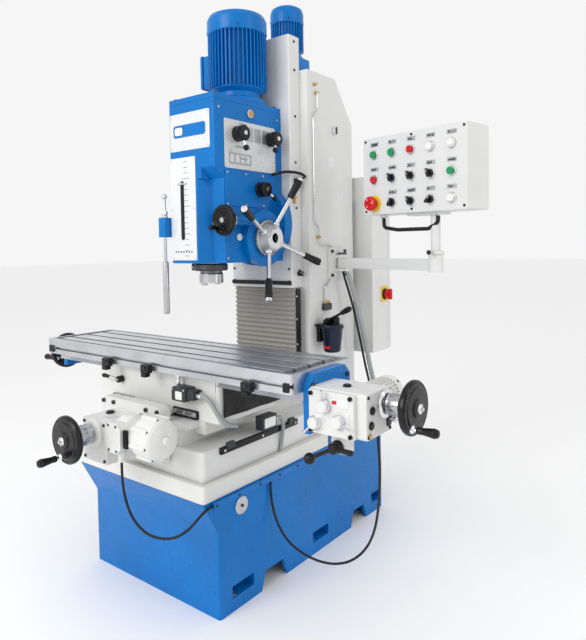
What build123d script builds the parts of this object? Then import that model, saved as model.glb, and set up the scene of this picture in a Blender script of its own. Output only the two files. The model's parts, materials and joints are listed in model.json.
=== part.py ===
from build123d import *
import os
from math import cos, radians, sin, tan

# Bed-type vertical milling machine. Millimetres, +Z up.
# Origin: centre of the plinth's footprint on the floor. +X runs along the table to the
# operator's right, +Y runs towards the column, so the machine faces -Y.

# ---- running clearances ----
SHAFT_GAP = 0.05  # radial, shaft in a bore
WAY_GAP = 0.2  # between sliding ways
BODY_GAP = 0.5  # between covers that pass or swing by each other

# ---- plinth and chip tray ----
PLINTH_W = 633.0
PLINTH_D = 1007.0
PLINTH_H = 383.0
PLINTH_WALL = 14.0
PLINTH_TOP = 20.0
FLARE_Z = 271.0  # where the front face starts to lean out
FLARE_OUT = 59.5
ARCH_H = 62.0
ARCH_SLOPE = 22.0
ARCHES = [(-308.0, -171.0), (247.0, 369.0)]
POCKETS = [(-447.0, -346.0), (-16.0, 86.0), (411.0, 490.0)]
POCKET_Z0 = 43.0
POCKET_Z1 = 83.0
POCKET_DEPTH = 45.0
ANCHOR_R = 9.0
ANCHOR_IN = 24.0  # hole centre in from the side face
ANCHOR_Y = 430.0
TRAY_H = 54.0
TRAY_FLOOR = 12.0
TRAY_RIM = 20.0
TRAY_BACK = 92.0

# ---- bed and its ways ----
BED_HALF = 290.0
BED_GUTTER = 3.0
BED_TOP = 530.0
BED_WALL = 40.0
WAY_TOP = 604.0
WAY_STEM = (110.0, 190.0)
WAY_CAP = (110.0, 212.0)
WAY_CAP_H = 24.0

# ---- column ----
COL_HALF = 198.0
COL_FRONT = 151.0
COL_BACK = 482.0
COL_WALL = 20.0
COL_TOP = 1845.0
COL_BACK_TOP = 1663.0
COL_FLAT_BACK = 347.0
FOOT_HALF = 252.0
FOOT_H = 87.0
FOOT_BACK = 500.0
RAIL_IN = 50.0
RAIL_STEM = 108.0
RAIL_CAP = 126.0
RAIL_STEM_D = 12.0
RAIL_CAP_D = 14.0
RAIL_Z0 = 640.0
SLOT_Z0 = 1300.0
SLOT_Z1 = 1800.0

# ---- head, which climbs the column ----
SLIDE_HALF = 160.0
SLIDE_FRONT = 84.0
SLIDE_Z0 = 984.0
SLIDE_Z1 = 1972.0
HEAD_HALF = 115.0
HEAD_FRONT = -286.0
HEAD_Z0 = 1093.0
HEAD_Z1 = 1689.0
HEAD_WALL = 16.0
LID_H = 20.0
NOTCH_Z = 1395.0
NOTCH_SLOPE = 46.0
NOTCH_X0 = 27.0
NOTCH_X1 = 58.0
NOTCH_Y = -240.0
FLANGE_R = 165.0
FLANGE_Z = 1240.0
FLANGE_D = 44.0
SPINDLE_Y = -200.0
QUILL_R = 52.0
QUILL_Z1 = 1480.0
QUILL_OUT = 28.0  # quill nose below the head at rest
SPINDLE_R = 24.0
NOSE_R = 44.45
NOSE_H = 46.0
TAPER_R0 = 22.2
TAPER_LEN = 93.0
CAPSTAN_Y = -50.0
CAPSTAN_Z = 1181.0
CAPSTAN_SHAFT_R = 16.0
BOSS_R = 105.0
BOSS_OUT = 28.0
HUB_R = 62.0
HUB_X0 = 144.0
HUB_X1 = 188.0
SPOKE_R = 9.0
SPOKE_REACH = 245.0
SPOKE_RISE = 65.0
GRIP_R = 15.0
GRIP_LEN = 82.0
FINE_X = 150.0
FINE_Z = 1243.0
FINE_CASE_Y = -238.0
FINE_CASE_R = 17.0
FINE_COLLAR_R = 24.0
FINE_WHEEL_R = 54.0

# ---- saddle and table ----
SADDLE_HALF = 304.0
SADDLE_FRONT = -481.0
SADDLE_BACK = -200.0
TABLE_X0 = -571.5
TABLE_X1 = 628.5
TABLE_Y0 = -528.5
TABLE_Y1 = -238.0
TABLE_TOP = 807.0
TABLE_EDGE = 56.0
TROUGH_W = 34.0
TABLE_LIP = 12.0
TABLE_RIM = 14.0
GUTTER_W = 12.0
GUTTER_D = 7.0
SLOT_W = 14.0
SLOT_NECK = 12.0
SLOT_T_W = 24.0
SLOT_T_H = 10.0
SLOT_PITCH = 72.0
GUIDE_TOP_HALF = 80.0
GUIDE_LOW_HALF = 97.0
GUIDE_H = 29.0
SCREW_GROOVE_HALF = 24.0

# ---- feed screws ----
XS_Y = -384.0
XS_Z = 730.0
XS_R = 12.5
YS_Z = 588.0
YS_R = 12.5
LIFT_Y = 215.0
LIFT_R = 15.0
WHEEL_R = 72.0
WHEEL_L_X = -668.0
WHEEL_R_X = 905.0
WHEEL_Y_Y = -797.0
CRANK_R = 56.0

# ---- table's end plates, feed gearbox and motor ----
PLATE_L = 24.0
PLATE_R = 21.5
GEARBOX_X1 = 827.0
GEARBOX_Y = (-475.0, -345.0)
GEARBOX_Z = (648.0, 769.0)
GEARBOX_WALL = 14.0
COVER_T = 14.0
XMOTOR_X = 757.0
XMOTOR_Z = 732.0
XMOTOR_R = 55.0
XMOTOR_LEN = 152.0
FEED_PIVOT = (736.0, 619.0)

# ---- Y feed drive ----
YPLATE_HALF = 153.0
YPLATE_Y0 = -580.0
YPLATE_TOP = 655.0
YBOX_HALF = 60.0
YBOX_FRONT = -713.0
YBOX_Z = (496.0, 627.0)
YMOTOR_Y = -650.0
YMOTOR_Z = 591.0
YMOTOR_R = 54.0
YMOTOR_X1 = 275.0

# ---- cabinet, arm and control panel ----
CAB_HALF = 277.0
CAB_Y0 = 506.0
CAB_Y1 = 648.0
CAB_Z = (674.0, 1448.0)
CAB_WALL = 4.0
DOOR_T = 19.0
HINGE_OUT = 8.0
HINGE_R = 3.0
ARM_ROOT = (233.0, 336.0)
ARM_TURN = -16.0
ARM_LEN = 500.0
ARM_Z = 1076.0
ARM_SIZE = 40.0
ARM_PIN_R = 12.0
PANEL_W = 444.0
PANEL_H = 283.0
PANEL_D = 129.0
PANEL_Z0 = 1262.0
PANEL_TURN = -10.65
PANEL_CORNER = (430.0, 187.0)
PANEL_WALL = 3.0
POST_R = 17.0
BUTTON_R = 11.0
BEZEL_R = 16.0
BEZEL_H = 5.0
BUTTON_TRAVEL = 4.0
PANEL_COLUMNS = [54.0, 137.0, 220.0, 302.0, 385.0]
PANEL_ROWS = [40.0, 128.0, 219.0]

# ---- drive cables and the duct under the tray's right rim ----
CABLE_R = 4.0
DUCT_W = 14.0
DUCT_Y = (-530.0, -20.0)
DUCT_Z = (364.0, 380.0)

DUCT_X = PLINTH_W / 2 + DUCT_W / 2
DUCT_MID_Z = (DUCT_Z[0] + DUCT_Z[1]) / 2
TRAY_Z0 = PLINTH_H
TRAY_TOP = TRAY_Z0 + TRAY_H
TRAY_FRONT = -PLINTH_D / 2 - FLARE_OUT
BED_FRONT = TRAY_FRONT + TRAY_RIM + BED_GUTTER
TABLE_Z0 = TABLE_TOP - TABLE_EDGE
TABLE_MID = (TABLE_Y0 + TABLE_Y1) / 2
QUILL_Z0 = HEAD_Z0 - QUILL_OUT
NOSE_Z0 = QUILL_Z0 - NOSE_H

os.makedirs("parts", exist_ok=True)


def keep(node, name):
    """Label a finished sub-part and write it as its own STEP file."""
    node.part.label = name
    export_step(node.part, f"parts/{name}.step")
    print(f"{name}: {len(node.part.solids())} solids, {node.part.volume / 1e6:.3f} litres")


def block(x, y, z, mode=Mode.ADD):
    """Add or cut a box given by its two limits along each axis."""
    centre = ((x[0] + x[1]) / 2, (y[0] + y[1]) / 2, (z[0] + z[1]) / 2)
    with Locations(centre):
        Box(x[1] - x[0], y[1] - y[0], z[1] - z[0], mode=mode)


def bar(start, end, radius, mode=Mode.ADD, end_radius=None):
    """A round bar, or a cone with end_radius, from one point to another."""
    axis = Vector(*end) - Vector(*start)
    with Locations(Plane(origin=start, z_dir=axis)):
        foot = (Align.CENTER, Align.CENTER, Align.MIN)
        if end_radius is None:
            Cylinder(radius, axis.length, align=foot, mode=mode)
        else:
            Cone(radius, end_radius, axis.length, align=foot, mode=mode)


def ball(centre, radius):
    """A ball at a point."""
    with Locations(centre):
        Sphere(radius)


def turned(origin, axis, across, profile, mode=Mode.ADD):
    """Revolve (radius, height) points about an axis through origin; across is any normal to it."""
    across_v = Vector(*across)
    plane = Plane(origin=origin, x_dir=across_v, z_dir=across_v.cross(Vector(*axis)))
    with BuildSketch(plane) as outline:
        with BuildLine():
            Polyline(*profile, close=True)
        make_face()
    revolve(outline.sketch, axis=Axis(origin, axis), mode=mode)


def prism(plane, points, amount, both=False, mode=Mode.ADD):
    """Extrude a straight-sided outline drawn on a plane."""
    with BuildSketch(plane) as outline:
        with BuildLine():
            Polyline(*points, close=True)
        make_face()
    extrude(outline.sketch, amount=amount, both=both, mode=mode)


# ======================= base =======================

# Plinth: a hollow casting, open below, whose front face leans out under the chip tray.
with BuildPart() as base_plinth:
    side = [
        (-PLINTH_D / 2, 0),
        (PLINTH_D / 2, 0),
        (PLINTH_D / 2, PLINTH_H),
        (TRAY_FRONT, PLINTH_H),
        (-PLINTH_D / 2, FLARE_Z),
    ]
    prism(Plane.YZ, side, PLINTH_W / 2, both=True)
    fillet(base_plinth.edges().filter_by(Axis.Z), 8)
    inner_x = PLINTH_W / 2 - PLINTH_WALL
    inner_y = PLINTH_D / 2 - PLINTH_WALL
    block((-inner_x, inner_x), (-inner_y, inner_y), (0, PLINTH_H - PLINTH_TOP), Mode.SUBTRACT)
    foot_in = PLINTH_W / 2 - POCKET_DEPTH - PLINTH_WALL
    for pocket_y0, pocket_y1 in POCKETS:
        foot_y = (pocket_y0 - PLINTH_WALL, min(pocket_y1, inner_y - PLINTH_WALL) + PLINTH_WALL)
        for outer, inner in ((-PLINTH_W / 2 + 1, -foot_in), (foot_in, PLINTH_W / 2 - 1)):
            block((outer, inner), foot_y, (0, POCKET_Z1 + PLINTH_WALL))
    for pocket in POCKETS:
        pocket_in = PLINTH_W / 2 - POCKET_DEPTH
        for outer, inner in ((-PLINTH_W, -pocket_in), (pocket_in, PLINTH_W)):
            block((outer, inner), pocket, (POCKET_Z0, POCKET_Z1), Mode.SUBTRACT)
    anchor_x = PLINTH_W / 2 - ANCHOR_IN
    with Locations([(s * anchor_x, y, POCKET_Z0 / 2) for s in (-1, 1) for y in (-ANCHOR_Y, 0, ANCHOR_Y)]):
        Cylinder(ANCHOR_R, POCKET_Z0 + 2, mode=Mode.SUBTRACT)
    for arch_y0, arch_y1 in ARCHES:
        arch = [(arch_y0, -1), (arch_y1, -1), (arch_y1 - ARCH_SLOPE, ARCH_H), (arch_y0 + ARCH_SLOPE, ARCH_H)]
        prism(Plane.YZ, arch, PLINTH_W, both=True, mode=Mode.SUBTRACT)
    block((PLINTH_W / 2, PLINTH_W / 2 + DUCT_W), DUCT_Y, DUCT_Z)
keep(base_plinth, "base_plinth")

# Chip tray: a shallow pan on the plinth, open at the back where the column stands.
with BuildPart() as coolant_tray:
    block((-PLINTH_W / 2, PLINTH_W / 2), (TRAY_FRONT, TRAY_BACK), (TRAY_Z0, TRAY_TOP))
    fillet(coolant_tray.edges().filter_by(Axis.Z).group_by(Axis.Y)[0], 12)
    rim_in = PLINTH_W / 2 - TRAY_RIM
    pan_y = (TRAY_FRONT + TRAY_RIM, TRAY_BACK + 1)
    block((-rim_in, rim_in), pan_y, (TRAY_Z0 + TRAY_FLOOR, TRAY_TOP + 1), Mode.SUBTRACT)
    fillet(coolant_tray.edges().group_by(Axis.Z)[-1], 4)
keep(coolant_tray, "coolant_tray")

# Bed: a hollow casting with two T-shaped ways for the saddle and an open channel for the Y screw.
BED_BACK = TRAY_BACK - BODY_GAP
bed_x = PLINTH_W / 2 - TRAY_RIM - BED_GUTTER
with BuildPart() as bed_casting:
    block((-bed_x, bed_x), (BED_FRONT, BED_BACK), (TRAY_Z0 + TRAY_FLOOR, BED_TOP))
    fillet(bed_casting.edges().filter_by(Axis.Z), 14)
    fillet(bed_casting.edges().group_by(Axis.Z)[-1], 5)
    hollow_y = (BED_FRONT + BED_WALL, BED_BACK - BED_WALL)
    block((-bed_x + BED_WALL, bed_x - BED_WALL), hollow_y, (TRAY_Z0, BED_TOP - BED_WALL), Mode.SUBTRACT)
    for side_sign in (-1, 1):
        stem = sorted(side_sign * w for w in WAY_STEM)
        cap = sorted(side_sign * w for w in WAY_CAP)
        block(stem, (BED_FRONT + 8, BED_BACK), (BED_TOP - 1, WAY_TOP))
        block(cap, (BED_FRONT + 8, BED_BACK), (WAY_TOP - WAY_CAP_H, WAY_TOP))
keep(bed_casting, "bed_casting")

# Column: a hollow casting with a slanting top, a foot, and two T rails down its front face.
with BuildPart() as column_casting:
    column_side = [
        (COL_FRONT, PLINTH_H),
        (COL_BACK, PLINTH_H),
        (COL_BACK, COL_BACK_TOP),
        (COL_FLAT_BACK, COL_TOP),
        (COL_FRONT, COL_TOP),
    ]
    prism(Plane.YZ, column_side, COL_HALF, both=True)
    fillet(column_casting.edges().filter_by(Axis.Z).group_by(Axis.Y)[-1], 10)
    block((-FOOT_HALF, FOOT_HALF), (TRAY_BACK, FOOT_BACK), (PLINTH_H, PLINTH_H + FOOT_H))
    for side_sign in (-1, 1):
        stem = sorted(side_sign * w for w in (RAIL_IN, RAIL_STEM))
        cap = sorted(side_sign * w for w in (RAIL_IN, RAIL_CAP))
        stem_y = COL_FRONT - RAIL_STEM_D
        block(stem, (stem_y, COL_FRONT + 1), (RAIL_Z0, COL_TOP))
        block(cap, (stem_y - RAIL_CAP_D, stem_y), (RAIL_Z0, COL_TOP))
    inside_side = [
        (COL_FRONT + COL_WALL, PLINTH_H - 1),
        (COL_BACK - COL_WALL, PLINTH_H - 1),
        (COL_BACK - COL_WALL, COL_BACK_TOP - COL_WALL),
        (COL_FLAT_BACK - COL_WALL / 2, COL_TOP - COL_WALL),
        (COL_FRONT + COL_WALL, COL_TOP - COL_WALL),
    ]
    prism(Plane.YZ, inside_side, COL_HALF - COL_WALL, both=True, mode=Mode.SUBTRACT)
    block((-RAIL_IN, RAIL_IN), (COL_FRONT - 1, COL_FRONT + COL_WALL + 1), (SLOT_Z0, SLOT_Z1), Mode.SUBTRACT)
    lift_hole_r = LIFT_R + SHAFT_GAP
    bar((0, LIFT_Y, COL_TOP - COL_WALL - 1), (0, LIFT_Y, COL_TOP + 1), lift_hole_r, Mode.SUBTRACT)
keep(column_casting, "column_casting")

# Lift screw: a vertical screw inside the column, which the head's nut climbs.
LIFT_BOX_Z = (COL_TOP + 16, COL_TOP + 100)
LIFT_SCREW_Z0 = SLOT_Z0 - 20
with BuildPart() as lift_screw:
    bar((0, LIFT_Y, LIFT_SCREW_Z0), (0, LIFT_Y, LIFT_BOX_Z[0] + 30), LIFT_R)
keep(lift_screw, "lift_screw")

# Lift drive: a gearbox on the column's top and a flange motor standing on it.
LIFT_MOTOR_Y = 282.0
LIFT_MOTOR_R = 71.0
LIFT_MOTOR_TOP = COL_TOP + 318
with BuildPart() as lift_drive:
    block((-95, 95), (165, 345), (COL_TOP, LIFT_BOX_Z[0]))
    block((-75, 75), (175, 345), LIFT_BOX_Z)
    fillet(lift_drive.edges().filter_by(Axis.Z), 6)
    bar((0, LIFT_Y, COL_TOP - 1), (0, LIFT_Y, LIFT_BOX_Z[0] + 31), lift_hole_r, Mode.SUBTRACT)
    motor_profile = [
        (0, LIFT_BOX_Z[1]),
        (66, LIFT_BOX_Z[1]),
        (66, LIFT_BOX_Z[1] + 12),
        (56, LIFT_BOX_Z[1] + 14),
        (56, LIFT_BOX_Z[1] + 26),
        (LIFT_MOTOR_R - 3, LIFT_BOX_Z[1] + 30),
        (LIFT_MOTOR_R - 3, LIFT_MOTOR_TOP - 92),
        (LIFT_MOTOR_R, LIFT_MOTOR_TOP - 92),
        (LIFT_MOTOR_R, LIFT_MOTOR_TOP - 22),
        (LIFT_MOTOR_R - 16, LIFT_MOTOR_TOP),
        (0, LIFT_MOTOR_TOP),
    ]
    turned((0, LIFT_MOTOR_Y, 0), (0, 0, 1), (1, 0, 0), motor_profile)
keep(lift_drive, "lift_drive")

# Column bellows: a pleated cover over the rails below the head.
PLEAT = 19.0
PLEAT_DEPTH = 12.0
BELLOWS_Z0 = 640.0
pleat_count = round((SLIDE_Z0 - BELLOWS_Z0) / PLEAT)
with BuildPart() as column_bellows:
    fold_back = COL_FRONT - RAIL_STEM_D - RAIL_CAP_D - 2
    fold_side = [(fold_back, SLIDE_Z0), (fold_back, BELLOWS_Z0)]
    fold_out = SLIDE_FRONT + 10
    pitch = (SLIDE_Z0 - BELLOWS_Z0) / pleat_count
    for pleat in range(pleat_count):
        z_low = BELLOWS_Z0 + pleat * pitch
        fold_side.append((fold_out + PLEAT_DEPTH, z_low))
        fold_side.append((fold_out, z_low + pitch / 2))
    fold_side.append((fold_out + PLEAT_DEPTH, SLIDE_Z0))
    prism(Plane.YZ, fold_side, SLIDE_HALF - 2, both=True)
keep(column_bellows, "column_bellows")

# Electrical cabinet: a sheet-metal box behind the column, open at the back for its door.
with BuildPart() as electrical_cabinet:
    block((-CAB_HALF, CAB_HALF), (CAB_Y0, CAB_Y1), CAB_Z)
    inside_x = CAB_HALF - CAB_WALL
    inside_y = (CAB_Y0 + CAB_WALL, CAB_Y1 + 1)
    inside_z = (CAB_Z[0] + CAB_WALL, CAB_Z[1] - CAB_WALL)
    block((-inside_x, inside_x), inside_y, inside_z, Mode.SUBTRACT)
    for rail_z in (CAB_Z[0] + 60, CAB_Z[1] - 100):
        block((-COL_HALF + 20, COL_HALF - 20), (COL_BACK, CAB_Y0), (rail_z, rail_z + 40))
    hinge_x = -CAB_HALF - HINGE_OUT
    hinge_y = CAB_Y1 + HINGE_OUT
    for hinge_z in (CAB_Z[0] + 110, CAB_Z[1] - 170):
        block((hinge_x - 5, -CAB_HALF), (CAB_Y1 - 30, CAB_Y1 - 4), (hinge_z, hinge_z + 20))
        block((hinge_x - 5, hinge_x + 5), (CAB_Y1 - 5, hinge_y + 4), (hinge_z, hinge_z + 20))
        bar((hinge_x, hinge_y, hinge_z + 19), (hinge_x, hinge_y, hinge_z + 60), HINGE_R)
    block((CAB_HALF, CAB_HALF + 4), (573, 638), (895, 960))
keep(electrical_cabinet, "electrical_cabinet")

# Cabinet door: a flanged pan that lifts on to the cabinet's two hinge pins.
DOOR_Y0 = CAB_Y1 + 2
with BuildPart() as cabinet_door:
    block((-CAB_HALF, CAB_HALF), (DOOR_Y0, DOOR_Y0 + DOOR_T), (CAB_Z[0] + 2, CAB_Z[1] - 2))
    fillet(cabinet_door.edges().filter_by(Axis.Y), 4)
    door_in = CAB_HALF - 3
    door_hollow_y = (DOOR_Y0 - 1, DOOR_Y0 + DOOR_T - 3)
    block((-door_in, door_in), door_hollow_y, (CAB_Z[0] + 5, CAB_Z[1] - 5), Mode.SUBTRACT)
    for hinge_z in (CAB_Z[0] + 110, CAB_Z[1] - 170):
        knuckle_z0 = hinge_z + 20.5
        block((hinge_x, -CAB_HALF + 2), (hinge_y - 2.5, hinge_y + 2.5), (knuckle_z0, knuckle_z0 + 38))
        bar((hinge_x, hinge_y, knuckle_z0), (hinge_x, hinge_y, knuckle_z0 + 38), 6.5)
        knuckle_from = (hinge_x, hinge_y, knuckle_z0 - 1)
        knuckle_to = (hinge_x, hinge_y, knuckle_z0 + 39)
        bar(knuckle_from, knuckle_to, HINGE_R + SHAFT_GAP, Mode.SUBTRACT)
    bar((CAB_HALF - 45, DOOR_Y0 + DOOR_T - 1, 1061), (CAB_HALF - 45, DOOR_Y0 + DOOR_T + 8, 1061), 14)
keep(cabinet_door, "cabinet_door")

# Mains isolator's turning handle on the cabinet's right side.
ISO_AXIS = (606.0, 928.0)
iso_x = CAB_HALF + 4 + BODY_GAP
with BuildPart() as isolator_handle:
    bar((iso_x, ISO_AXIS[0], ISO_AXIS[1]), (iso_x + 14, ISO_AXIS[0], ISO_AXIS[1]), 21)
    iso_y, iso_z = ISO_AXIS
    block((iso_x + 13, iso_x + 30), (iso_y - 7, iso_y + 7), (iso_z - 24, iso_z + 24))
keep(isolator_handle, "isolator_handle")

# Hand lubrication pump: a bracket, a pump body and a tapered reservoir on the column's side.
LUBE_C = (258.0, 215.0)
LUBE_TOP = 832.0
LUBE_PIVOT_Z = 846.0
with BuildPart() as lube_pump:
    block((COL_HALF, COL_HALF + 6), (180, 262), (800, 862))
    block((COL_HALF, LUBE_C[0] + 50), (LUBE_C[1] - 40, LUBE_C[1] + 40), (LUBE_TOP - 8, LUBE_TOP))
    bar((*LUBE_C, 722), (*LUBE_C, LUBE_TOP - 8), 38, end_radius=47)
    lug_x = (LUBE_C[0] - 22, LUBE_C[0] - 8)
    block(lug_x, (LUBE_C[1] - 12, LUBE_C[1] + 12), (LUBE_TOP - 1, LUBE_PIVOT_Z + 10))
    bar((LUBE_C[0] - 15, LUBE_C[1] - 20, LUBE_PIVOT_Z), (LUBE_C[0] - 15, LUBE_C[1] + 12, LUBE_PIVOT_Z), 4)
keep(lube_pump, "lube_pump")

# Pump lever: a flat lever on the pump's cross pin, with a thick rounded end.
LEVER_RISE = 27.0
with BuildPart() as lube_lever:
    pivot = (LUBE_C[0] - 15, LUBE_C[1] - 16.5, LUBE_PIVOT_Z)
    tip = (pivot[0] + 130 * cos(radians(LEVER_RISE)), pivot[1], pivot[2] + 130 * sin(radians(LEVER_RISE)))
    neck = tuple((a + 2 * b) / 3 for a, b in zip(pivot, tip))
    bar((pivot[0], pivot[1] - 4, pivot[2]), (pivot[0], pivot[1] + 4, pivot[2]), 9)
    bar(pivot, neck, 3.8, end_radius=6)
    bar(neck, tip, 6, end_radius=9)
    ball(tip, 9)
    pin_from = (pivot[0], pivot[1] - 12, pivot[2])
    pin_to = (pivot[0], pivot[1] + 12, pivot[2])
    bar(pin_from, pin_to, 4 + SHAFT_GAP, Mode.SUBTRACT)
keep(lube_lever, "lube_lever")

# Y feed drive: a bracket plate on the bed's front and the gearbox that carries the screw.
with BuildPart() as y_drive_housing:
    block((-YPLATE_HALF, YPLATE_HALF), (YPLATE_Y0, BED_FRONT), (TRAY_TOP + 40, YPLATE_TOP))
    fillet(y_drive_housing.edges().filter_by(Axis.Y).group_by(Axis.Z)[-1], 26)
    plate_x = (-YPLATE_HALF - 1, YPLATE_HALF + 1)
    block(plate_x, (BED_FRONT - 6, BED_FRONT + 1), (TRAY_TOP, BED_TOP), Mode.SUBTRACT)
    block((-YBOX_HALF, YBOX_HALF), (YBOX_FRONT, YPLATE_Y0 + 1), YBOX_Z)
    fillet(y_drive_housing.edges().filter_by(Axis.Y).group_by(Axis.Z)[0], 10)
    bar((0, YBOX_FRONT - 1, YS_Z), (0, BED_FRONT + 1, YS_Z), YS_R + SHAFT_GAP, Mode.SUBTRACT)
keep(y_drive_housing, "y_drive_housing")

# Y feed motor: a round motor across the gearbox, with a terminal box and a cable gland below.
GLAND_X = 105.0
GLAND_Z = 512.0
with BuildPart() as y_feed_motor:
    y_motor_profile = [
        (0, YBOX_HALF),
        (YMOTOR_R - 6, YBOX_HALF),
        (YMOTOR_R - 6, YBOX_HALF + 14),
        (YMOTOR_R - 2, YBOX_HALF + 14),
        (YMOTOR_R - 2, YMOTOR_X1 - 40),
        (YMOTOR_R, YMOTOR_X1 - 40),
        (YMOTOR_R, YMOTOR_X1 - 10),
        (YMOTOR_R - 10, YMOTOR_X1),
        (0, YMOTOR_X1),
    ]
    turned((0, YMOTOR_Y, YMOTOR_Z), (1, 0, 0), (0, 0, 1), y_motor_profile)
    block((GLAND_X - 32, GLAND_X + 32), (YMOTOR_Y - 66, YMOTOR_Y - 20), (GLAND_Z + 22, YMOTOR_Z + 34))
    bar((GLAND_X, YMOTOR_Y - 43, GLAND_Z), (GLAND_X, YMOTOR_Y - 43, GLAND_Z + 24), 10)
keep(y_feed_motor, "y_feed_motor")

# ======================= saddle =======================

# Saddle: rides the bed's ways on keepers, has the table's dovetail slot on top and the X nut.
slot_low = TABLE_Z0 - GUIDE_H - WAY_GAP
saddle_top = TABLE_Z0 - WAY_GAP
with BuildPart() as saddle:
    block((-SADDLE_HALF, SADDLE_HALF), (SADDLE_FRONT, SADDLE_BACK), (WAY_TOP + WAY_GAP, saddle_top))
    fillet(saddle.edges().filter_by(Axis.Z), 12)
    slope = (GUIDE_LOW_HALF - GUIDE_TOP_HALF) / GUIDE_H
    low_half = GUIDE_LOW_HALF + WAY_GAP + slope * WAY_GAP
    high_half = GUIDE_TOP_HALF + WAY_GAP - slope * WAY_GAP
    dovetail = [
        (TABLE_MID - low_half, slot_low),
        (TABLE_MID + low_half, slot_low),
        (TABLE_MID + high_half, TABLE_Z0 + 1),
        (TABLE_MID - high_half, TABLE_Z0 + 1),
    ]
    prism(Plane.YZ, dovetail, SADDLE_HALF + 1, both=True, mode=Mode.SUBTRACT)
    channel_y = (XS_Y - XS_R - 6, XS_Y + XS_R + 6)
    block((-SADDLE_HALF - 1, SADDLE_HALF + 1), channel_y, (XS_Z - XS_R - 6, slot_low + 1), Mode.SUBTRACT)
    nut_y = (XS_Y - XS_R - 5, XS_Y + XS_R + 5)
    block((-30, 30), nut_y, (XS_Z - XS_R - 7, XS_Z + XS_R + 3))
    bar((-31, XS_Y, XS_Z), (31, XS_Y, XS_Z), XS_R + SHAFT_GAP, Mode.SUBTRACT)
    keeper_y = (SADDLE_FRONT + 4, SADDLE_BACK - 4)
    cap_low = WAY_TOP - WAY_CAP_H
    for side_sign in (-1, 1):
        outer = sorted(side_sign * w for w in (WAY_CAP[1] + WAY_GAP, WAY_CAP[1] + 30))
        lip = sorted(side_sign * w for w in (WAY_STEM[1] + WAY_GAP, WAY_CAP[1] + 30))
        block(outer, keeper_y, (cap_low - 20, WAY_TOP + 1))
        block(lip, keeper_y, (cap_low - 20, cap_low - WAY_GAP))
    y_nut_y = (SADDLE_BACK - 70, SADDLE_BACK - 10)
    block((-34, 34), y_nut_y, (YS_Z - YS_R - 9, WAY_TOP + 1))
    bar((0, SADDLE_FRONT - 1, YS_Z), (0, SADDLE_BACK + 1, YS_Z), YS_R + SHAFT_GAP, Mode.SUBTRACT)
keep(saddle, "saddle")


def knob_lever(name, pivot, axis, tip, hub_r, hub_len, rod_r, knob_r, knob_len):
    """A hub on a shaft end, with a thin rod to a knob; tip is where the knob ends."""
    with BuildPart() as lever:
        end = tuple(p + hub_len * a for p, a in zip(pivot, axis))
        mid = tuple(p + 0.6 * hub_len * a for p, a in zip(pivot, axis))
        bar(pivot, end, hub_r, end_radius=hub_r * 0.9)
        run = Vector(*tip) - Vector(*mid)
        knob_start = tuple(Vector(*tip) - run.normalized() * knob_len)
        bar(mid, knob_start, rod_r)
        bar(knob_start, tip, knob_r * 0.75, end_radius=knob_r)
        ball(tip, knob_r)
    keep(lever, name)


# Saddle clamp: a short lever on the saddle's front face that locks it to the ways.
knob_lever(
    "saddle_clamp_lever",
    (-170, SADDLE_FRONT - BODY_GAP, 690),
    (0, -1, 0),
    (-250, SADDLE_FRONT - 26, 698),
    11,
    22,
    5,
    8,
    34,
)

# ======================= table =======================

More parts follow.
